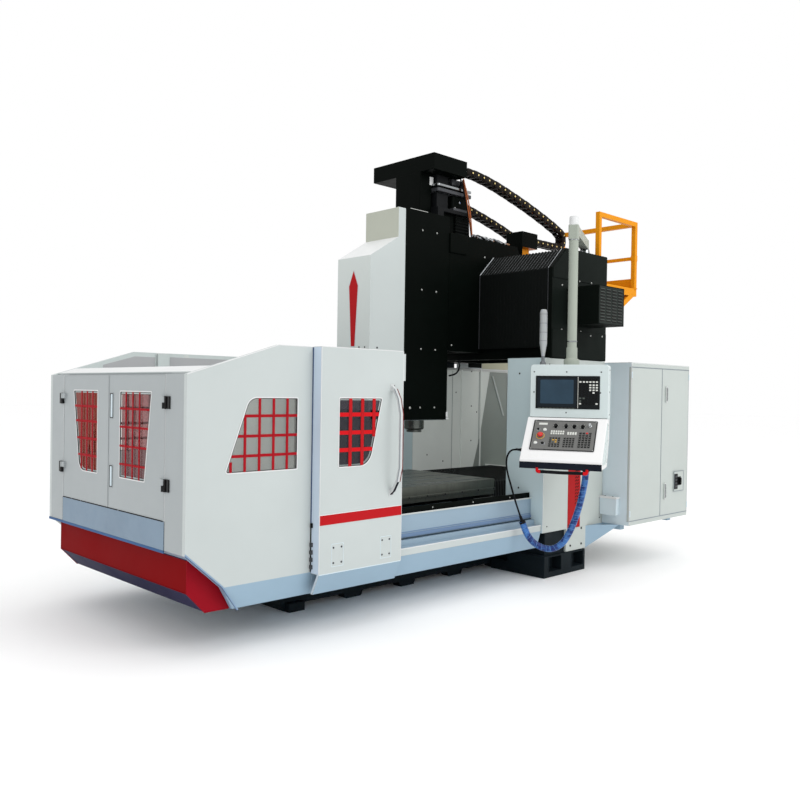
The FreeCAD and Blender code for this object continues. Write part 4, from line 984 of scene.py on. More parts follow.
# seal between the fixed panel and the sliding door, dark blue above z 690 as a painted seam shadow, and the post behind
# it
kt.box(-1662, -1638, -930, -925, 392, 690, FOAM, 1, 1)
kt.box(-1662, -1638, -930, -925, 690, 1760, SEAM_SHADE, 1, 1)
kt.box(-1665, -1641, -945, -926, 662, 690, CABLE, 2, 1)
for z in (410, 455, 500, 545):
    kt.box(-1668, -1644, -947, -926, z, z + 26, MOTORGREY, 3, 2)
kt.make("panel_seal", "frame")

# ------------------------------------------------------------------ doorway sill: strip of slots, folds, tray edge
kt = Kit()
kt.box(-962, 700, -806, -798, 646, 690, SMOOTHBLACK, 1, 1)
for x in (-950, -453, -7, 440):
    kt.screw((x, -806, 668), (0, -1, 0), SCREW, 6, 3)
kt.box(-1637, 699, -826, -818, 640, 649, PAINT, 1.5, 2)
kt.tube([(-1636, -822, 647), (698, -822, 647)], 4, WHITE, 8)
# thin blue band along the fold: painted shadow line
kt.box(-1636, 698, -823, -819, 518, 524, BLUEBAND, 0.8, 1)
kt.box(-1636, 698, -826, -820, 486, 512, BLUEBAND, 2, 2)
kt.box(-1636, 698, -829, -820, 463, 482, SLATE, 2, 2)
kt.tube([(-1636, -924, 434), (698, -924, 434)], 4, WHITE, 8)
kt.box(-1636, 698, -927, -923, 388, 434, PAINT, 1, 1)
kt.make("sill_trim", "frame")

# ------------------------------------------------------------------ bow: rolled edges and its returns
kt = Kit()
for s in (-1, 1):
    y = 853 * s
    kt.tube([(-2456, y, 556), (-2457, y, 371), (-2343, y, 249.5), (-2190, y, 248)], 3, BOW_LIT_RED, 8)
kt.tube([(-2458, -853, 371), (-2458, 853, 371)], 2.4, BOW_SHADED_RED, 8)
# dark blue crease along the bow's top: painted shade
kt.tube([(-2458, -853, 556), (-2458, 853, 556)], 3, UNDER_SHADE, 8)
kt.make("bow_edges", "frame")

# ------------------------------------------------------------------ head fairing: spear, outline, screws
kt = Kit()
tip, wide_, low = 2442, 2323, 1850


def spear(k, d):
    """The tapered red band of the head cover, k mm larger all round; d, its relief, is not used."""
    return [(25, tip + k * 2), (25 - 52 - k, wide_), (25 - 21 - k, low - k), (25 + 21 + k, low - k), (25 + 52 + k, wide_)]


kt.prism("YZ", -520.2, -518.4, spear(6, 0), OUTLINE, 0.3, 1)
kt.prism("YZ", -521.0, -518.4, spear(0, 1), RED, 0.3, 1)
for y, z in ((-50, 1842), (-116, 1840)):
    kt.screw((-519, y, z), (-1, 0, 0), DARKSCREW, 7, 3)
for y, s_ in ((-170, -1), (220, 1)):
    kt.screw((-438, y, 1838), (0, s_, 0), DARKSCREW, 8, 3)
kt.make("fairing_band", "ram")

# ------------------------------------------------------------------ ram and saddle: cover screws, seams, wipers, hoses
kt = Kit()
for x in (50, 220):
    for z in (2820, 2334, 1850, 1371):
        for y, n_ in ((-170, -1), (220, 1)):
            kt.screw((x, y, z), (0, n_, 0), SCREW, 8, 5)
kt.screw((-68, -170, 1368), (0, -1, 0), SCREW, 11, 6)
# seam of the ram's top cover and a light edge on it
kt.box(-95, 107, -172, -169, 2974, 2979, SCREW, 0.8, 1)
kt.box(362, 384, -178, -150, 1286, 1334, WHITE, 5, 3)
kt.box(364, 400, -173, -150, 1271, 1284, WHITE, 3, 2)
kt.box(-144, 373, -169, 219, 1266, 1271, STEEL, 1, 1)
for y in (-150, 200):
    for x in (-125, 20, 350):
        kt.screw((x, y, 1266.5), (0, 0, -1), DARKSCREW, 6, 3)
kt.make("ram_screws", "ram")
kt = Kit()
# label plate left bare, fans and connectors on the motors
kt.box(275, 318, -24, -19, 3258, 3328, WHITE, 1, 1)
for z0, z1, mt in ((3205, 3234, MOTORGREY), (3250, 3270, STEEL)):
    kt.prism("XY", z0, z1, [(304, -98, 14), (733, -98, 14), (733, 128, 14), (304, 128, 14)], mt, 2.5, 2)
kt.prism("XY", 3072, 3204, [(512, -72, 22), (718, -72, 22), (718, 122, 22), (512, 122, 22)], SMOOTHBLACK, 4, 3)
kt.box(590, 610, -80, -70, 3142, 3160, CHROME, 1.5, 2)
kt.box(596, 604, -84, -79, 3147, 3155, HOSE, 1, 1)
for x in (528, 702):
    for y in (-85, 125):
        kt.screw((x, y, 3092), (0, 0, 1), SCREW, 8, 8)
kt.box(590, 640, -92, -60, 3271, 3300, CABLE, 6, 3)
kt.lathe([(0, 0), (15, 0), (15, 14), (11, 17), (11, 32), (8, 35), (0, 35)], CABLE, Matrix.Translation((615, -76, 3299)), 18)
kt.make("motor_fittings", "ram")
kt = Kit()
# cables from the cap down past the motor to the saddle's top
for q, (x0, x1, dx, mt) in enumerate(((598, 726, 16, COPPER), (612, 742, -8, COPPER), (586, 706, 24, CABLE), (626, 762, 6, CABLE))):
    pts = []
    for k in range(15):
        t = k / 14
        pts.append((x0 + (x1 - x0) * t * t + dx * math.sin(math.pi * t), -118 + q * 12 - 34 * math.sin(math.pi * t), 3352 - 502 * t))
    kt.tube(pts, 5.5 if mt is COPPER else 6.5, mt, 10)
o = kt.make("head_cables", None)
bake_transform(o)


def z_ring(z, d):
    """The folded cover round the vertical screw."""
    return [(562 + d, -68 + d, z), (742 - d, -68 + d, z), (742 - d, 118 - d, z), (562 + d, 118 - d, z)]


kt = Kit()
kt.prism("XY", 2852, 3037, [(404, -52, 8), (556, -52, 8), (556, 104, 8), (404, 104, 8)], SMOOTHBLACK, 2, 2)
guard = kt.make("z_screw_guard", None)
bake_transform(guard)
cover = pleated("z_screw_cover", 2852, 3037, 26, 9, z_ring, RUBBER, CREST_HIGHLIGHT, 9999)
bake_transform(cover)
kt = Kit()
kt.tube([(540, -20, 2851), (540, -20, 2950), (540, -20, 3068)], 9, CHROME, 20)
rod = kt.make("guide_rod", None)
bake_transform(rod)
kt = Kit()
# hoses and couplings lying on the saddle's top
random.seed(4)
for q in range(7):
    x0 = 748 + 58 * q
    mt = (BRAID, CABLE, BRAID, CHROME, CABLE, BRAID, CABLE)[q]
    pts = []
    for k in range(17):
        a = math.pi * (k / 16)
        pts.append((x0 + 58 * (k / 8 - 1), -150 + 36 * math.sin(a) + q * 2, 2858 + 30 * math.sin(a) + (q % 2) * 4))
    kt.tube(pts, 8, mt, 10)
for x, mt in ((770, CHROME), (870, BRAID), (990, CHROME), (1110, BRAID), (1210, CHROME)):
    Mx = Matrix.Translation((x, -120, 2868)) @ Matrix.Rotation(math.pi / 2, 4, "Y")
    kt.lathe([(0, -34), (12, -34), (12, -20), (17, -18), (17, 8), (12, 10), (12, 30), (0, 30)], mt, Mx, 6)
kt.box(900, 1280, -60, 120, 2849, 2868, SMOOTHBLACK, 4, 2)
for x in (920, 1090, 1260):
    kt.screw((x, -40, 2868), (0, 0, 1), SCREW, 7, 5)
kt.make("saddle_hoses", "saddle")
kt = Kit()
kt.screw((838, -170, 2697), (0, -1, 0), SCREW, 8, 5)
kt.screw((420, -170, 1900), (0, -1, 0), SCREW, 8, 5)
kt.screw((790, -170, 1900), (0, -1, 0), SCREW, 8, 5)
kt.screw((790, -170, 2450), (0, -1, 0), SCREW, 8, 5)
# the cover plate that stands proud below the saddle's top, and the hose into the ram
kt.box(377, 590, -182, -169, 2684, 2848, SMOOTHBLACK, 3, 2)
kt.tube([(518, -171, 1762), (516, -180, 1730), (501, -181, 1688), (476, -181, 1664), (447, -181, 1652), (415, -181, 1645), (386, -180, 1640)], 7.5, CABLE, 12)
kt.lathe([(0, 0), (12, 0), (12, 14), (9, 16), (0, 16)], CABLE, Matrix.Translation((518, -170, 1764)) @ Matrix.Rotation(math.pi / 2, 4, "X"), 12)
# wiper frames that the bellows bolt to
kt.box(776, 845, -178, -170, 1878, 2530, SMOOTHBLACK, 2, 1)
kt.box(776, 845, 220, 228, 1878, 2530, SMOOTHBLACK, 2, 1)
kt.make("saddle_screws", "saddle")

# ------------------------------------------------------------------ crossbeam end covers: screws, and the motor cover's louvres
kt = Kit()
for s in (-1, 1):
    y = 950 * s
    for x, z in ((910, 2398), (1153, 2451), (1332, 2456), (912, 2032), (1190, 2032), (1334, 2005), (1516, 2007)):
        yy = y if (z > 2450 or z < 2030) else 944 * s
        if s > 0 and (z > 2460 or yy > 944):
            continue
        kt.screw((x, yy, z), (0, s, 0), SCREW, 8, 5)
kt.make("beam_screws", "frame")
kt = Kit()
for x in (994, 1346):
    for z in (2084, 2371):
        kt.screw((x, -1250, z), (0, -1, 0), DARKSCREW, 5, 3)
kt.ring("XZ", -1252, -1249.6, [(981, 2071), (1359, 2071), (1359, 2384), (981, 2384)], [(986, 2076), (1354, 2076), (1354, 2379), (986, 2379)], LOUVRE, 0.4)
for q in range(11):
    for k in range(4):
        x0, z0 = 1004 + 88 * k, 2096 + 25 * q
        kt.prism("YZ", x0, x0 + 62, [(-1247, z0 + 9), (-1254.5, z0 + 7), (-1254.5, z0 + 10), (-1247, z0 + 15)], LOUVRESLAT, 0.3, 1)
        kt.box(x0, x0 + 62, -1251.2, -1249.6, z0 - 3, z0 + 9, SLOTDARK, 0.2, 1)
kt.make("motor_cover_louvres", "frame")

# ------------------------------------------------------------------ column covers: red vent strip, screws, seams
kt = Kit()
kt.box(1050, 1232, -943, -939, 372, 1700, VENTRED, 0.8, 1)
for q in range(44):
    z = 1660 - q * 27
    if z < 560:
        break
    for k in range(2):
        x0 = 1152 + 30 * k
        kt.prism("XZ", -944, -942.4, [(x0, z - 10), (x0 + 23, z + 2), (x0 + 23, z + 12), (x0, z)], SLOTDARK, 0.3, 1)
for z in (400, 1040, 1670):
    for x in (1064, 1218):
        kt.screw((x, -943, z), (0, -1, 0), DARKSCREW, 5, 2.5)
kt.make("vent_strip", "frame")
kt = Kit()
for y, z in ((-691, 718), (-684, 1665), (-900, 420), (-900, 1740), (-900, 1080)):
    for s in (-1, 1):
        kt.screw((700, y * (1 if s < 0 else -1), z), (-1, 0, 0), DARKSCREW, 8, 3)
for s in (-1, 1):
    y = 940 * s
    kt.tube([(701, y, 372), (701, y, 1788)], 2.2, WHITE, 8)
    for x in (760, 1540):
        for z in (420, 1080, 1740):
            kt.screw((x, y, z), (0, s, 0), DARKSCREW, 6, 3)
kt.box(700, 760, -942, -556, 1786, 1791.5, PAINT, 1.2, 2)
kt.box(700, 760, 556, 942, 1786, 1791.5, PAINT, 1.2, 2)
# four screws of the support plate under the cabinet
for x, z in ((1095, 357), (1258, 357), (1097, 224), (1260, 224)):
    kt.screw((x, -940, z), (0, -1, 0), DARKSCREW, 10, 5)
kt.make("cover_screws", "frame")

# ------------------------------------------------------------------ cabinet: trims, hinge pins, pulls, breaker, cable hood
kt = Kit()
kt.box(1583, 2630.8, -1206, -1203, 407, 411, SEAMGREY, 0.6, 1)
kt.box(1583, 2630.8, -1206, -1203, 1741, 1745, SEAMGREY, 0.6, 1)
kt.tube([(1586, -1204, 1777), (2629, -1204, 1777)], 2.4, WHITE, 8)
kt.tube([(1586, -1203, 375), (1586, -1203, 1777)], 2.4, WHITE, 8)
kt.box(1584, 2631, -1204, -804, 1777, 1782, CABINET, 1.5, 2)
for y in (-1160, -860):
    for x in (1610, 2100, 2600):
        kt.screw((x, y, 1781), (0, 0, 1), SCREW, 8, 4)
# cable hood on the side, open below, with two screws
kt.prism("YZ", 1536, 1584, [(-1104, 452, 14), (-944, 452, 14), (-940, 598, 10), (-1108, 598, 10)], CABSIDE, 2, 2)
kt.prism("YZ", 1530, 1584, [(-1112, 596, 5), (-938, 596, 5), (-938, 614, 5), (-1112, 614, 5)], WHITE, 2, 2)
for y in (-1060, -985):
    kt.screw((1556, y, 614), (0, 0, 1), DARKSCREW, 7, 3)
# vents of the far side
for q in range(12):
    kt.prism("XZ", -804.6, -802, [(1700, 600 + 22 * q), (1860, 600 + 22 * q), (1860, 608 + 22 * q), (1700, 608 + 22 * q)], SLOTDARK, 0.3, 1)
kt.make("cabinet_trim", "frame")
for body, x0, x1, hx in (("cabinet_door_left", 1587, 2118, 1), ("cabinet_door_right", 2122, 2628, -1)):
    kt = Kit()
    kt.ring("XZ", -1205.2, -1203.6, [(x0, 411), (x1, 411), (x1, 1740), (x0, 1740)], [(x0 + 3, 414), (x1 - 3, 414), (x1 - 3, 1737), (x0 + 3, 1737)], SEAMGREY, 0.3)
    if hx < 0:
        for z0, z1 in ((1438, 1582), (558, 704)):
            kt.prism("XZ", -1217.5, -1214, [(2177, z0 + 1, 9), (2203, z0 + 1, 9), (2203, z1 - 1, 9), (2177, z1 - 1, 9)], WHITE, 1.2, 2)
            kt.prism("XZ", -1218.6, -1216.8, [(2182, z0 + 8, 5), (2196, z0 + 8, 5), (2196, z1 - 8, 5), (2182, z1 - 8, 5)], SLOTDARK, 0.4, 1)
            kt.prism("XZ", -1224, -1218, [(2184, z0 + 12, 4), (2194, z0 + 12, 4), (2194, z1 - 12, 4), (2184, z1 - 12, 4)], CHROME, 2, 2)
            for q in range(9):
                kt.box(2184.5, 2193.5, -1225, -1223.4, z0 + 22 + q * 12, z0 + 26 + q * 12, SLOTDARK, 0.3, 1)
        kt.ring("XZ", -1216, -1213.4, corner_loop([(2353, 614, 3), (2539, 614, 3), (2539, 802, 3), (2353, 802, 3)], 3),
                corner_loop([(2358, 619, 2), (2534, 619, 2), (2534, 797, 2), (2358, 797, 2)], 3), SEAMGREY, 0.5)
        kt.prism("XZ", -1219, -1213.6, [(2362, 636, 4), (2420, 636, 4), (2420, 776, 4), (2362, 776, 4)], KNOB, 1.4, 2)
        kt.prism("XZ", -1215.6, -1213.6, [(2405, 668, 3), (2486, 668, 3), (2486, 748, 3), (2405, 748, 3)], SLOTDARK, 0.4, 1)
        for q in range(4):
            kt.box(2371, 2411, -1220.5, -1218.8, 652 + q * 30, 668 + q * 30, MOTORGREY, 0.8, 1)
    for z in (450, 1650):
        xc = 1592 if hx > 0 else 2625
        kt.lathe([(0, -1.5), (4.2, -1.5), (5.2, 1), (5.2, 49), (4.2, 51.5), (0, 51.5)], CABSIDE, Matrix.Translation((xc, -1206.5, z)), 16)
    kt.make(body + "_trim", body)

# ------------------------------------------------------------------ rear guard, far panel and bed details
kt = Kit()
for s in (-1, 1):
    y = 568 * s
    for x in (760, 1080, 1372, 1670, 1980, 2290, 2560):
        kt.box(x, x + 18, min(y, y + 4 * s), max(y, y + 4 * s), 405, 1726, PAINT, 1.5, 2)
        for z in (430, 1070, 1700):
            kt.screw((x + 9, y + 4 * s, z), (0, s, 0), SCREW, 5, 3)
    yi = 558 * s
    kt.box(706, 2590, min(yi, yi - 3 * s), max(yi, yi - 3 * s), 1716, 1731, WHITE, 1.2, 2)
    kt.tube([(708, 560 * s, 1733), (2598, 560 * s, 1733)], 8.5, LIT_TOP, 8)
    for x, z in ((1531, 1713), (1533, 1365), (1616, 1304), (1535, 1017), (1124, 829), (1300, 1500), (900, 1500), (900, 900)):
        kt.screw((x, yi - 1 * s, z), (0, -s, 0), DARKSCREW, 7, 3)
kt.tube([(2595, -562, 1731), (2595, 562, 1731)], 5.5, WHITE, 8)
for y in (-420, -140, 140, 420):
    kt.box(2600, 2604, y - 9, y + 9, 405, 1726, PAINT, 1.5, 2)
kt.box(1490, 2600, -572, 572, 396, 402, PAINT, 2, 2)
# stiffening strut that shows through the doorway, and a darker plate on the wall beside it: a painted shadow
kt.prism("XZ", 554.8, 556.6, [(1817, 1714), (2100, 1714), (2128, 679), (1571, 753), (1685, 1112)], WALL_SHADOW_PLATE, 0.5, 1)
kt.prism("XZ", 546, 556, [(1840, 1671), (1866, 1671), (2054, 1262), (2027, 1262)], PAINT, 1.5, 2)
kt.box(2101, 2140, 545, 556.5, 1117, 1700, OUTLINE, 2, 2)
for x in (1246, 1651):
    kt.box(x - 2, x + 2, 554.5, 557, 405, 1714, SEAMGREY, 0.5, 1)
# pale ledge along the wall's top, with the dark block on it
kt.box(1312, 2590, 558, 566, 1731, 1786, OUTLINE, 1.5, 2)
kt.box(1600, 2590, 559, 566, 1786, 1836, OUTLINE, 1.5, 2)
kt.box(1689, 2134, 556.5, 559, 1745, 1834, WARMWALL, 0.8, 1)
kt.box(1479, 1679, 552, 566, 1752, 1808, SMOOTHBLACK, 3, 2)
kt.make("rear_guard_ribs", "frame")
kt = Kit()
for x in (-2200, -1900, -1300, -900, -400, 100, 500):
    kt.box(x, x + 16, 925, 929, 396, 1570 if x < -2100 else 1758, PAINT, 1.5, 2)
    for z in (430, 980, 1500):
        kt.screw((x + 8, 929, z), (0, 1, 0), SCREW, 5, 3)
kt.tube([(-1636, 923, 1762), (698, 923, 1762)], 3.2, WHITE, 8)
kt.box(-1736, -1640, 893, 897, 1742, 1762, WHITE, 1.5, 2)
for x in (-1500, -820, -140, 520):
    kt.box(x, x + 40, 893, 896, 400, 1756, INSIDE_GLOW, 2, 2)
# grey plates on the far panel's inner face, below its top: painted shade
kt.prism("XZ", 892.6, 894.8, [(-2165, 1490), (-2152, 1660), (-1909, 1731), (-1745, 1731), (-1745, 1490)], WALL_SHADE_GREY, 0.5, 1)
kt.prism("XZ", 892.6, 894.8, [(-1622, 1490), (-1622, 1736), (-600, 1736), (-600, 1490)], WALL_SHADE_GREY, 0.5, 1)
kt.make("far_panel_ribs", "frame")
kt = Kit()
for x in (-1375, -825, -275, 275, 825, 1375):
    for s in (-1, 1):
        y = 382 * s
        kt.prism("XZ", min(y, y + 7 * s), max(y, y + 7 * s), [(x - 84, 92, 8), (x + 84, 92, 8), (x + 60, 150, 12), (x - 60, 150, 12)], BEDBLACK, 2.5, 2)
        kt.screw((x, y + 7 * s, 122), (0, s, 0), MOTORGREY, 12, 6)
for x in (-1100, -550, 0, 550):
    for s in (-1, 1):
        y = 382 * s
        a, b = sorted((y - 2 * s, y + 6 * s))
        kt.ring("XZ", a, b, corner_loop([(x - 156, 154, 16), (x + 156, 154, 16), (x + 156, 416, 16), (x - 156, 416, 16)], 4),
                corner_loop([(x - 141, 169, 8), (x + 141, 169, 8), (x + 141, 401, 8), (x - 141, 401, 8)], 4), BEDBLACK, 2)
for s in (-1, 1):
    y = 382 * s
    kt.box(-1478, 1478, min(y, y + 8 * s), max(y, y + 8 * s), 470, 540, BEDBLACK, 4, 2)
kt.make("bed_bosses", "frame")
kt = Kit()
for s in (-1, 1):
    y = 950 * s
    a, b = sorted((y - 2 * s, y + (3 * s if s < 0 else -0.2)))
    for x0, x1 in ((784, 953), (1113, 1276)):
        kt.ring("XZ", a, b, corner_loop([(x0 - 9, 38, 8), (x1 + 9, 38, 8), (x1 + 9, 174, 8), (x0 - 9, 174, 8)], 4),
                corner_loop([(x0, 47, 5), (x1, 47, 5), (x1, 165, 5), (x0, 165, 5)], 4), BEDBLACK, 1.5)
    for x in (740, 1033, 1290):
        kt.lathe([(0, 0), (20, 0), (20, 14), (16, 18), (0, 18)], MOTORGREY, Matrix.Translation((x, 600 * s, 178)), 6)
kt.make("column_bosses", "frame")

# ------------------------------------------------------------------ table: slot lips and coolant rim
kt = Kit()
for y in (-400, -200, 0, 200, 400):
    for s in (-1, 1):
        kt.prism("YZ", -879, 619, [(y + s * 9, 779), (y + s * 13, 779), (y + s * 13, 781), (y + s * 9.6, 781)], STEEL, 0, 1)
for s in (-1, 1):
    kt.box(-878, 618, min(s * 500, s * 512), max(s * 500, s * 512), 690, 712, IRON, 3, 2)
    for x in range(-800, 620, 200):
        kt.screw((x, s * 512, 701), (0, s, 0), DARKSCREW, 7, 4)
for x in (-882, 622):
    kt.box(min(x, x + (4 if x < 0 else -4)), max(x, x + (4 if x < 0 else -4)), -470, 470, 700, 740, IRON, 1.5, 2)
kt.make("table_edges", "table")

# ------------------------------------------------------------------ service platform: deck tread, toe boards, rail joints
kt = Kit()
for q in range(10):
    for k in range(7):
        x, y = 1625 + 75 * k, -850 + 80 * q
        Mx = Matrix.Translation((x + (q % 2) * 30, y, 2490)) @ Matrix.Rotation(math.radians(45 if (q + k) % 2 else -45), 4, "Z")
        kt.box(-16, 16, -3, 3, -1, 2.2, ORANGE, 0.9, 1, Mx)
for x, y, z in ((1541, -880, 2710), (2150, -880, 2490), (2150, -80, 2490)):
    kt.lathe([(0, 0), (34, 0), (34, 6), (25, 10), (25, 14), (0, 14)], ORANGE, Matrix.Translation((x, y, z)), 20)
for x, y in ((2150, -880),):
    kt.ring("XY", 2749, 2801, corner_loop([(x - 23, y - 23, 4), (x + 23, y - 23, 4), (x + 23, y + 23, 4), (x - 23, y + 23, 4)], 3),
            corner_loop([(x - 19, y - 19, 3), (x + 19, y - 19, 3), (x + 19, y + 19, 3), (x - 19, y + 19, 3)], 3), ORANGE, 1)
kt.box(2160, 2172, -898, -62, 2490, 2590, ORANGE, 2, 2)
kt.make("platform_tread", "frame")

# ------------------------------------------------------------------ pendant: housing, screen, keys
kt = Kit(PEN)
kt.prism("XZ", -114, 16, [(-303.5, 1306), (303.5, 1306), (303.5, 1731, 24), (-303.5, 1731, 24)], PENDANT, 5, 3, arcs=8)
kt.prism("YZ", -318, 300, [(-114, 1315), (-403, 999), (-403, 940), (-110, 940), (16, 1150), (16, 1316)], CONSOLE_LIT, 6, 3)
kt.lathe([(0, 1730), (62, 1730), (62, 1732)], ARM, None, 32)
kt.lathe([(62, 1730), (62, 1768), (58, 1774)], ARM, None, 32)
kt.lathe([(58, 1773), (44, 1784), (43, 1788)], ARM, None, 32)
kt.lathe([(43, 1786), (43, 1866), (40, 1870), (37, 1871)], ARM, None, 32)
kt.lathe([(36.6, 1868), (36.6, 1912), (20.2, 1912), (20.2, 1880)], ARM, None, 32)
kt.make("skin_pendant_box", "pendant", replaces=("pendant_box",))
kt = Kit(PEN)
kt.prism("XZ", -406, -401, [(-317, 933, 3), (299, 933, 3), (299, 983, 3), (-317, 983, 3)], NAVY, 1, 1)
kt.prism("XZ", -118.5, -112, [(-259, 1384, 4), (239, 1384, 4), (239, 1642, 4), (-259, 1642, 4)], PANELDARK, 2.5, 2)
kt.prism("XZ", -119.6, -117.5, [(-246, 1399, 3), (63, 1399, 3), (63, 1629, 3), (-246, 1629, 3)], SCREENEDGE, 0.7, 1)
kt.prism("XZ", -120.2, -118.5, [(-222, 1424, 8), (38, 1424, 8), (38, 1612, 8), (-222, 1612, 8)], SCREEN, 0.4, 1)
kt.ring("XZ", -122, -118, corner_loop([(-252, 1393, 3), (69, 1393, 3), (69, 1635, 3), (-252, 1635, 3)], 3),
        corner_loop([(-246, 1399, 3), (63, 1399, 3), (63, 1629, 3), (-246, 1629, 3)], 3), PANELDARK, 0.8)
kt.box(70.5, 74, -120.2, -117.5, 1390, 1636, KEYWHITE, 0.5, 1)
for q in range(10):
    kt.prism("XZ", -121, -118, [(-236 + 29 * q, 1386.4, 1), (-216 + 29 * q, 1386.4, 1), (-216 + 29 * q, 1392, 1), (-236 + 29 * q, 1392, 1)], KEYGREY, 0.5, 1)
kt.make("display", "pendant")
kt = Kit(PEN)


def mdi(cx, cy):
    return -257 + (cx - 318) * 0.8967, 1640 - (cy - 660) * 0.876


whites = {(cx, 710) for cx in (705, 735, 762, 790, 818, 845)} | {(cx, cy) for cx in (790, 818, 845) for cy in (738, 760, 783)} | {(818, 806)}
greys = {(705, 855), (735, 855), (705, 880)}
brights = {(705, 903), (845, 903)}
for cx in (705, 735, 762, 790, 818, 845):
    for cy in (685, 710, 738, 760, 783, 806, 830, 855, 880, 903):
        x, z = mdi(cx, cy)
        mat = KEYWHITE if (cx, cy) in whites or (cx, cy) in brights else (KEYGREY if (cx, cy) in greys else KNOB)
        kt.prism("XZ", -123, -118, [(x - 8, z - 6, 2), (x + 8, z - 6, 2), (x + 8, z + 6, 2), (x - 8, z + 6, 2)], mat, 1.2, 2)
kt.make("mdi_keys", "pendant")
kt = Kit(PEN)
for cx, cy in ((300, 622), (585, 622), (880, 622), (300, 805), (876, 805), (585, 985)):
    x, z = mdi(cx, cy)
    x = max(-290, min(290, x))
    kt.screw((x, -114, max(z, 1328)), (0, -1, 0), DARKSCREW, 5.5, 3)
for x in (-303.5, 303.5):
    for z in (1345, 1520, 1690):
        kt.screw((x, -49, z), (1 if x > 0 else -1, 0, 0), DARKSCREW, 5, 3)
for a in range(4):
    kt.screw((48 * math.cos(math.pi / 4 + a * math.pi / 2), 48 * math.sin(math.pi / 4 + a * math.pi / 2), 1756), (0, 0, 1), DARKSCREW, 5, 3)
# seam between box and console, back cover with its louvres, label-free side cover
kt.box(-300, 298, -116, -111, 1312.5, 1316.5, SLOTDARK, 0.6, 1)
kt.ring("XZ", 15, 19, corner_loop([(-270, 1340, 12), (270, 1340, 12), (270, 1700, 12), (-270, 1700, 12)], 4),
        corner_loop([(-262, 1348, 8), (262, 1348, 8), (262, 1692, 8), (-262, 1692, 8)], 4), PENDANT, 1)
for q in range(9):
    kt.prism("XZ", 15, 17.4, [(-90, 1440 + 16 * q, 2), (90, 1440 + 16 * q, 2), (90, 1447 + 16 * q, 2), (-90, 1447 + 16 * q, 2)], SLOTDARK, 0.5, 1)
for x, s in ((-318, -1), (300, 1)):
    a, b = sorted((x, x + 2.4 * s))
    kt.prism("YZ", a, b, [(-126, 1278, 8), (-368, 1010, 8), (-368, 972, 8), (-150, 972, 8), (-60, 1118, 8), (-60, 1278, 8)], PENDANT, 0.9, 2)
    for y, z in ((-110, 1262), (-352, 985), (-152, 985), (-76, 1262)):
        kt.screw((x + 2.4 * s, y, z), (s, 0, 0), SCREW, 4.5, 2.5)
kt.tube([(-222, 15, 1690), (-222, 17, 1690), (-222, 19, 1690)], 16, SLOTDARK, 16)
kt.make("pendant_fittings", "pendant")
kt = Kit(PEN)
kt.lathe([(0, 0), (19, 0), (19, 20), (16, 22), (16, 44), (0, 44)], WHITE, Matrix.Translation((-318, -150, 1060)) @ Matrix.Rotation(math.radians(-90), 4, "Y"), 20)
kt.make("side_socket", "pendant")

kt = Kit(SLOPE)
H = 5.0
kt.ring("XY", 4, 6.5, corner_loop([(-258, -334, 8), (232, -334, 8), (232, -34, 8), (-258, -34, 8)], 4),
        corner_loop([(-250, -326, 4), (224, -326, 4), (224, -42, 4), (-250, -42, 4)], 4), PANELDARK, 0.7)


def pad(x0, x1, t0, t1, mat, h=1.0, r=1.5):
    kt.prism("XY", H - 0.4, H + h, [(x0, -t1, r), (x1, -t1, r), (x1, -t0, r), (x0, -t0, r)], mat, min(0.8, h * 0.4), 1)


def keys(x0, x1, t0, t1, nx, nt, mat, special=None, gap=3.0):
    """A block of keycaps on their dark plate."""
    pad(x0 - 3, x1 + 3, t0 - 3, t1 + 3, PANELGREY, 0.5)
    w, g = (x1 - x0) / nx, (t1 - t0) / nt
    for a in range(nx):
        for b in range(nt):
            mt = (special or {}).get((a, b), mat)
            cx, ct = x0 + w * (a + 0.5), t0 + g * (b + 0.5)
            hw, ht = (w - gap) / 2, (g - gap) / 2
            kt.prism("XY", H, H + 5.5, [(cx - hw, -ct - ht, 2), (cx + hw, -ct - ht, 2), (cx + hw, -ct + ht, 2), (cx - hw, -ct + ht, 2)], mt, 1.3, 2)
            if mt is KNOB:
                kt.box(cx - hw * 0.55, cx + hw * 0.35, -ct + ht * 0.1, -ct + ht * 0.45, H + 5.2, H + 5.9, KEYDIM, 0.2, 1)


pad(-216, -150, 62, 82, KEYWHITE, 0.9)
keys(-119, -30, 204, 303, 4, 5, KNOB, {(2, 1): YELLOW, (1, 1): YELLOW, (1, 2): KEYGREY, (2, 2): YELLOW}, 8)
keys(-11, 78, 204, 303, 4, 5, KNOB, None, 8)
keys(102, 200, 148, 303, 4, 7, KNOB, {(2, 0): STOP}, 8)
keys(-116, -8, 138, 180, 6, 2, KEYWHITE, None, 5)
keys(12, 87, 149, 181, 4, 1, KEYWHITE, None, 5)
kt.make("panel_keys", "pendant")
kt = Kit(SLOPE)


def dial(x, t, r, n, sweep=280):
    kt.lathe([(r + 2.5, H - 0.5), (r + 10, H - 0.5), (r + 10, H + 0.9), (r + 9, H + 1.3), (r + 2.5, H + 1.3)], PANELDARK, Matrix.Translation((x, -t, 0)), 32)
    for q in range(n):
        a = math.radians(90 + sweep / 2 - sweep * q / (n - 1))
        m4 = Matrix.Translation((x, -t, 0)) @ Matrix.Rotation(a, 4, "Z")
        kt.box(r + 3.5, r + 9.5, -1.1, 1.1, H + 1.0, H + 1.9, KEYWHITE, 0.2, 1, m4)


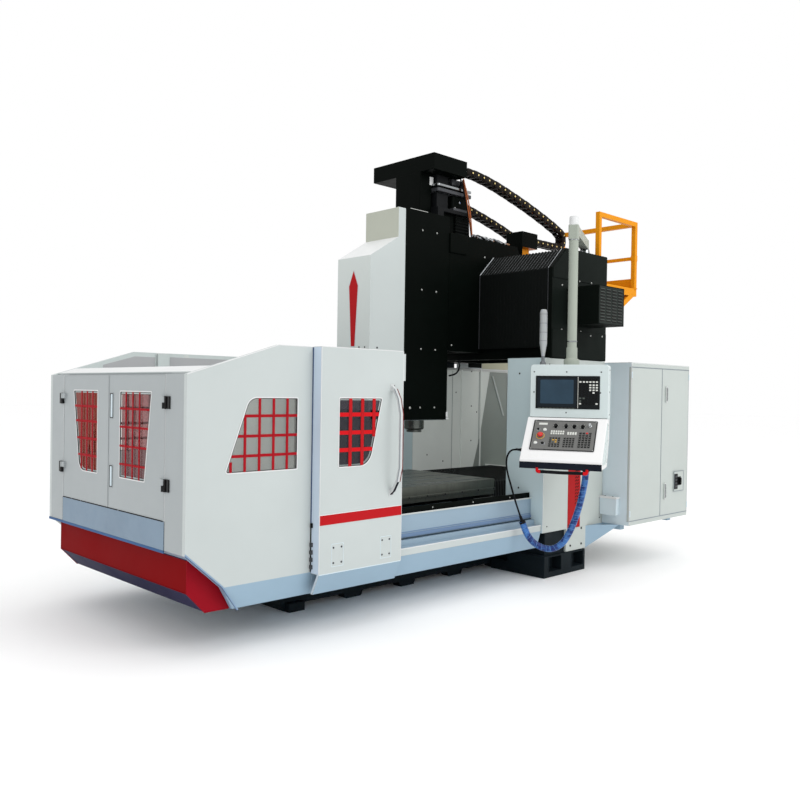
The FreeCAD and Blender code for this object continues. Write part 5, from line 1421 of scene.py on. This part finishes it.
for x, t in ((-83, 92), (-3, 92), (60, 92), (124, 92)):
    dial(x, t, 13, 15)
for x, t in ((60, 92), (124, 92)):
    m4 = Matrix.Translation((x, -t, 0))
    kt.lathe([(0, H), (13, H), (13, H + 10.5), (11.8, H + 12), (0, H + 12)], KNOB, m4, 24)
    kt.prism("XY", H + 11.6, H + 20, [(x - 3.5, -t - 12, 2), (x + 3.5, -t - 12, 2), (x + 3.5, -t + 12, 2), (x - 3.5, -t + 12, 2)], KNOB, 1, 2)
    kt.box(x - 0.8, x + 0.8, -t + 3, -t + 11, H + 19.6, H + 20.4, KEYWHITE, 0.2, 1)
m4 = Matrix.Translation((179, -86, 0))
kt.lathe([(0, H), (15, H), (15, H + 3), (13, H + 6), (9, H + 7), (9, H + 11), (0, H + 11)], CHROME, m4, 28)
kt.box(177.6, 180.4, -92, -80, H + 10.5, H + 24, STEEL, 0.6, 1)
kt.lathe([(9, H + 24), (9, H + 27), (0, H + 27), (0, H + 24)][::-1], STEEL, Matrix.Translation((179, -86, 0)), 16)
for x, t, r, mt in ((-163, 132, 13, KEYWHITE), (-214, 130, 11, KNOB), (-218, 266, 13, KEYWHITE), (-162, 269, 13, KNOB)):
    m4 = Matrix.Translation((x, -t, 0))
    kt.lathe([(0, H), (r + 3.5, H), (r + 3.5, H + 2.4), (r + 2, H + 3.6), (r + 0.4, H + 3.6), (r + 0.4, H + 2.4), (0, H + 2.4)], CHROME, m4, 28)
    kt.lathe([(0, H + 2), (r, H + 2), (r, H + 6), (r - 1.5, H + 7.4), (0, H + 7.8)], mt, m4, 28)
for x, y in ((-246, -46), (220, -46), (-246, -322), (220, -322)):
    kt.screw((x, y, H), (0, 0, 1), SCREW, 4.5, 2.5)
kt.lathe([(27, H - 1), (33, H - 1), (33, H + 0.8), (31.5, H + 1.4), (27, H + 1.4)], YELLOW, Matrix.Translation((-190, -193, 0)), 36)
kt.make("panel_controls", "pendant")
skin("signal_lamp", [LAMP, LAMPDARK], 3, 3, lambda c, n: 1 if c.z < 1800 or 2130 < c.z < 2147 else 0)
kt = Kit()
lx = PEN @ Vector((-221, -40, 0))
for z in (1922, 1990, 2062, 2134):
    kt.lathe([(29.6, z - 2), (30.9, z - 1.2), (30.9, z + 1.2), (29.6, z + 2), (27, z + 2), (27, z - 2)], LAMPDARK, Matrix.Translation((lx.x, lx.y, 0)), 32)
kt.lathe([(0, 1730.5), (26, 1730.5), (26, 1736), (24, 1738), (0, 1738)], LAMPDARK, Matrix.Translation((lx.x, lx.y, 0)), 28)
kt.make("lamp_bands", "pendant")

# ------------------------------------------------------------------ arm: post cap, elbow cap, pivot rings
kt = Kit()
kt.lathe([(28, 2835), (34, 2835), (34, 2843), (30, 2846), (0, 2846), (0, 2841), (28, 2841)], ARM, Matrix.Translation((1385, -842, 0)), 28)
kt.lathe([(0, 2899), (34, 2899), (34, 2905), (30, 2908), (0, 2908)], WHITE, Matrix.Translation((760, -1150, 0)), 28)
for z in (2722, 1918):
    kt.lathe([(36.8, z - 5), (39.5, z - 4), (39.5, z + 4), (36.8, z + 5), (33, z + 5), (33, z - 5)], STEEL, Matrix.Translation((760, -1150, 0)), 32)
ua = Vector((-625, -308, 0)).normalized()
ub = Vector((-ua.y, ua.x, 0))
for s_ in (130, 590):
    for side in (-35, 35):
        p_ = Vector((1385, -842, 0)) + ua * s_ + ub * side
        for z in (2777, 2820):
            kt.screw((p_.x, p_.y, z), tuple(ub * (1 if side > 0 else -1)), SCREW, 5, 3)
kt.make("arm_fittings", "arm")

# ------------------------------------------------------------------ floor, backdrop and lights
def white(name, k):
    m = bpy.data.materials.new(name)
    m.use_nodes = True
    b = m.node_tree.nodes["Principled BSDF"]
    b.inputs["Base Color"].default_value = (k, k, k, 1)
    b.inputs["Roughness"].default_value = 0.85
    return m


fm = bpy.data.meshes.new("floor")
fm.from_pydata([(-60, -60, 0), (60, -60, 0), (60, 60, 0), (-60, 60, 0)], [], [(0, 1, 2, 3)])
fm.materials.append(white("floor_white", 1.0))
floor = bpy.data.objects.new("floor", fm)
SCENE.collection.objects.link(floor)

world = bpy.data.worlds.new("studio")
SCENE.world = world
world.use_nodes = True
bg = world.node_tree.nodes["Background"]
bg.inputs["Color"].default_value = (1, 1, 1, 1)
bg.inputs["Strength"].default_value = 1.0


def lamp(name, at, to, size, power, shape="RECTANGLE", size_y=None):
    l_ = bpy.data.lights.new(name, "AREA")
    l_.shape = shape
    l_.size = size
    if shape == "RECTANGLE":
        l_.size_y = size_y or size
    l_.energy = power
    o = bpy.data.objects.new(name, l_)
    SCENE.collection.objects.link(o)
    o.location = at
    o.rotation_euler = (Vector(to) - Vector(at)).to_track_quat("-Z", "Y").to_euler()
    return o


lamp("key", (1.5, -8.5, 6.0), (0.3, 0, 1.4), 5.0, 230, size_y=4.0)
lamp("top", (-0.5, -1.0, 8.5), (0, 0, 0), 6.0, 90, size_y=6.0)
lamp("fill", (-8.0, -1.5, 3.6), (0, 0, 1.4), 4.0, 20, size_y=4.0)
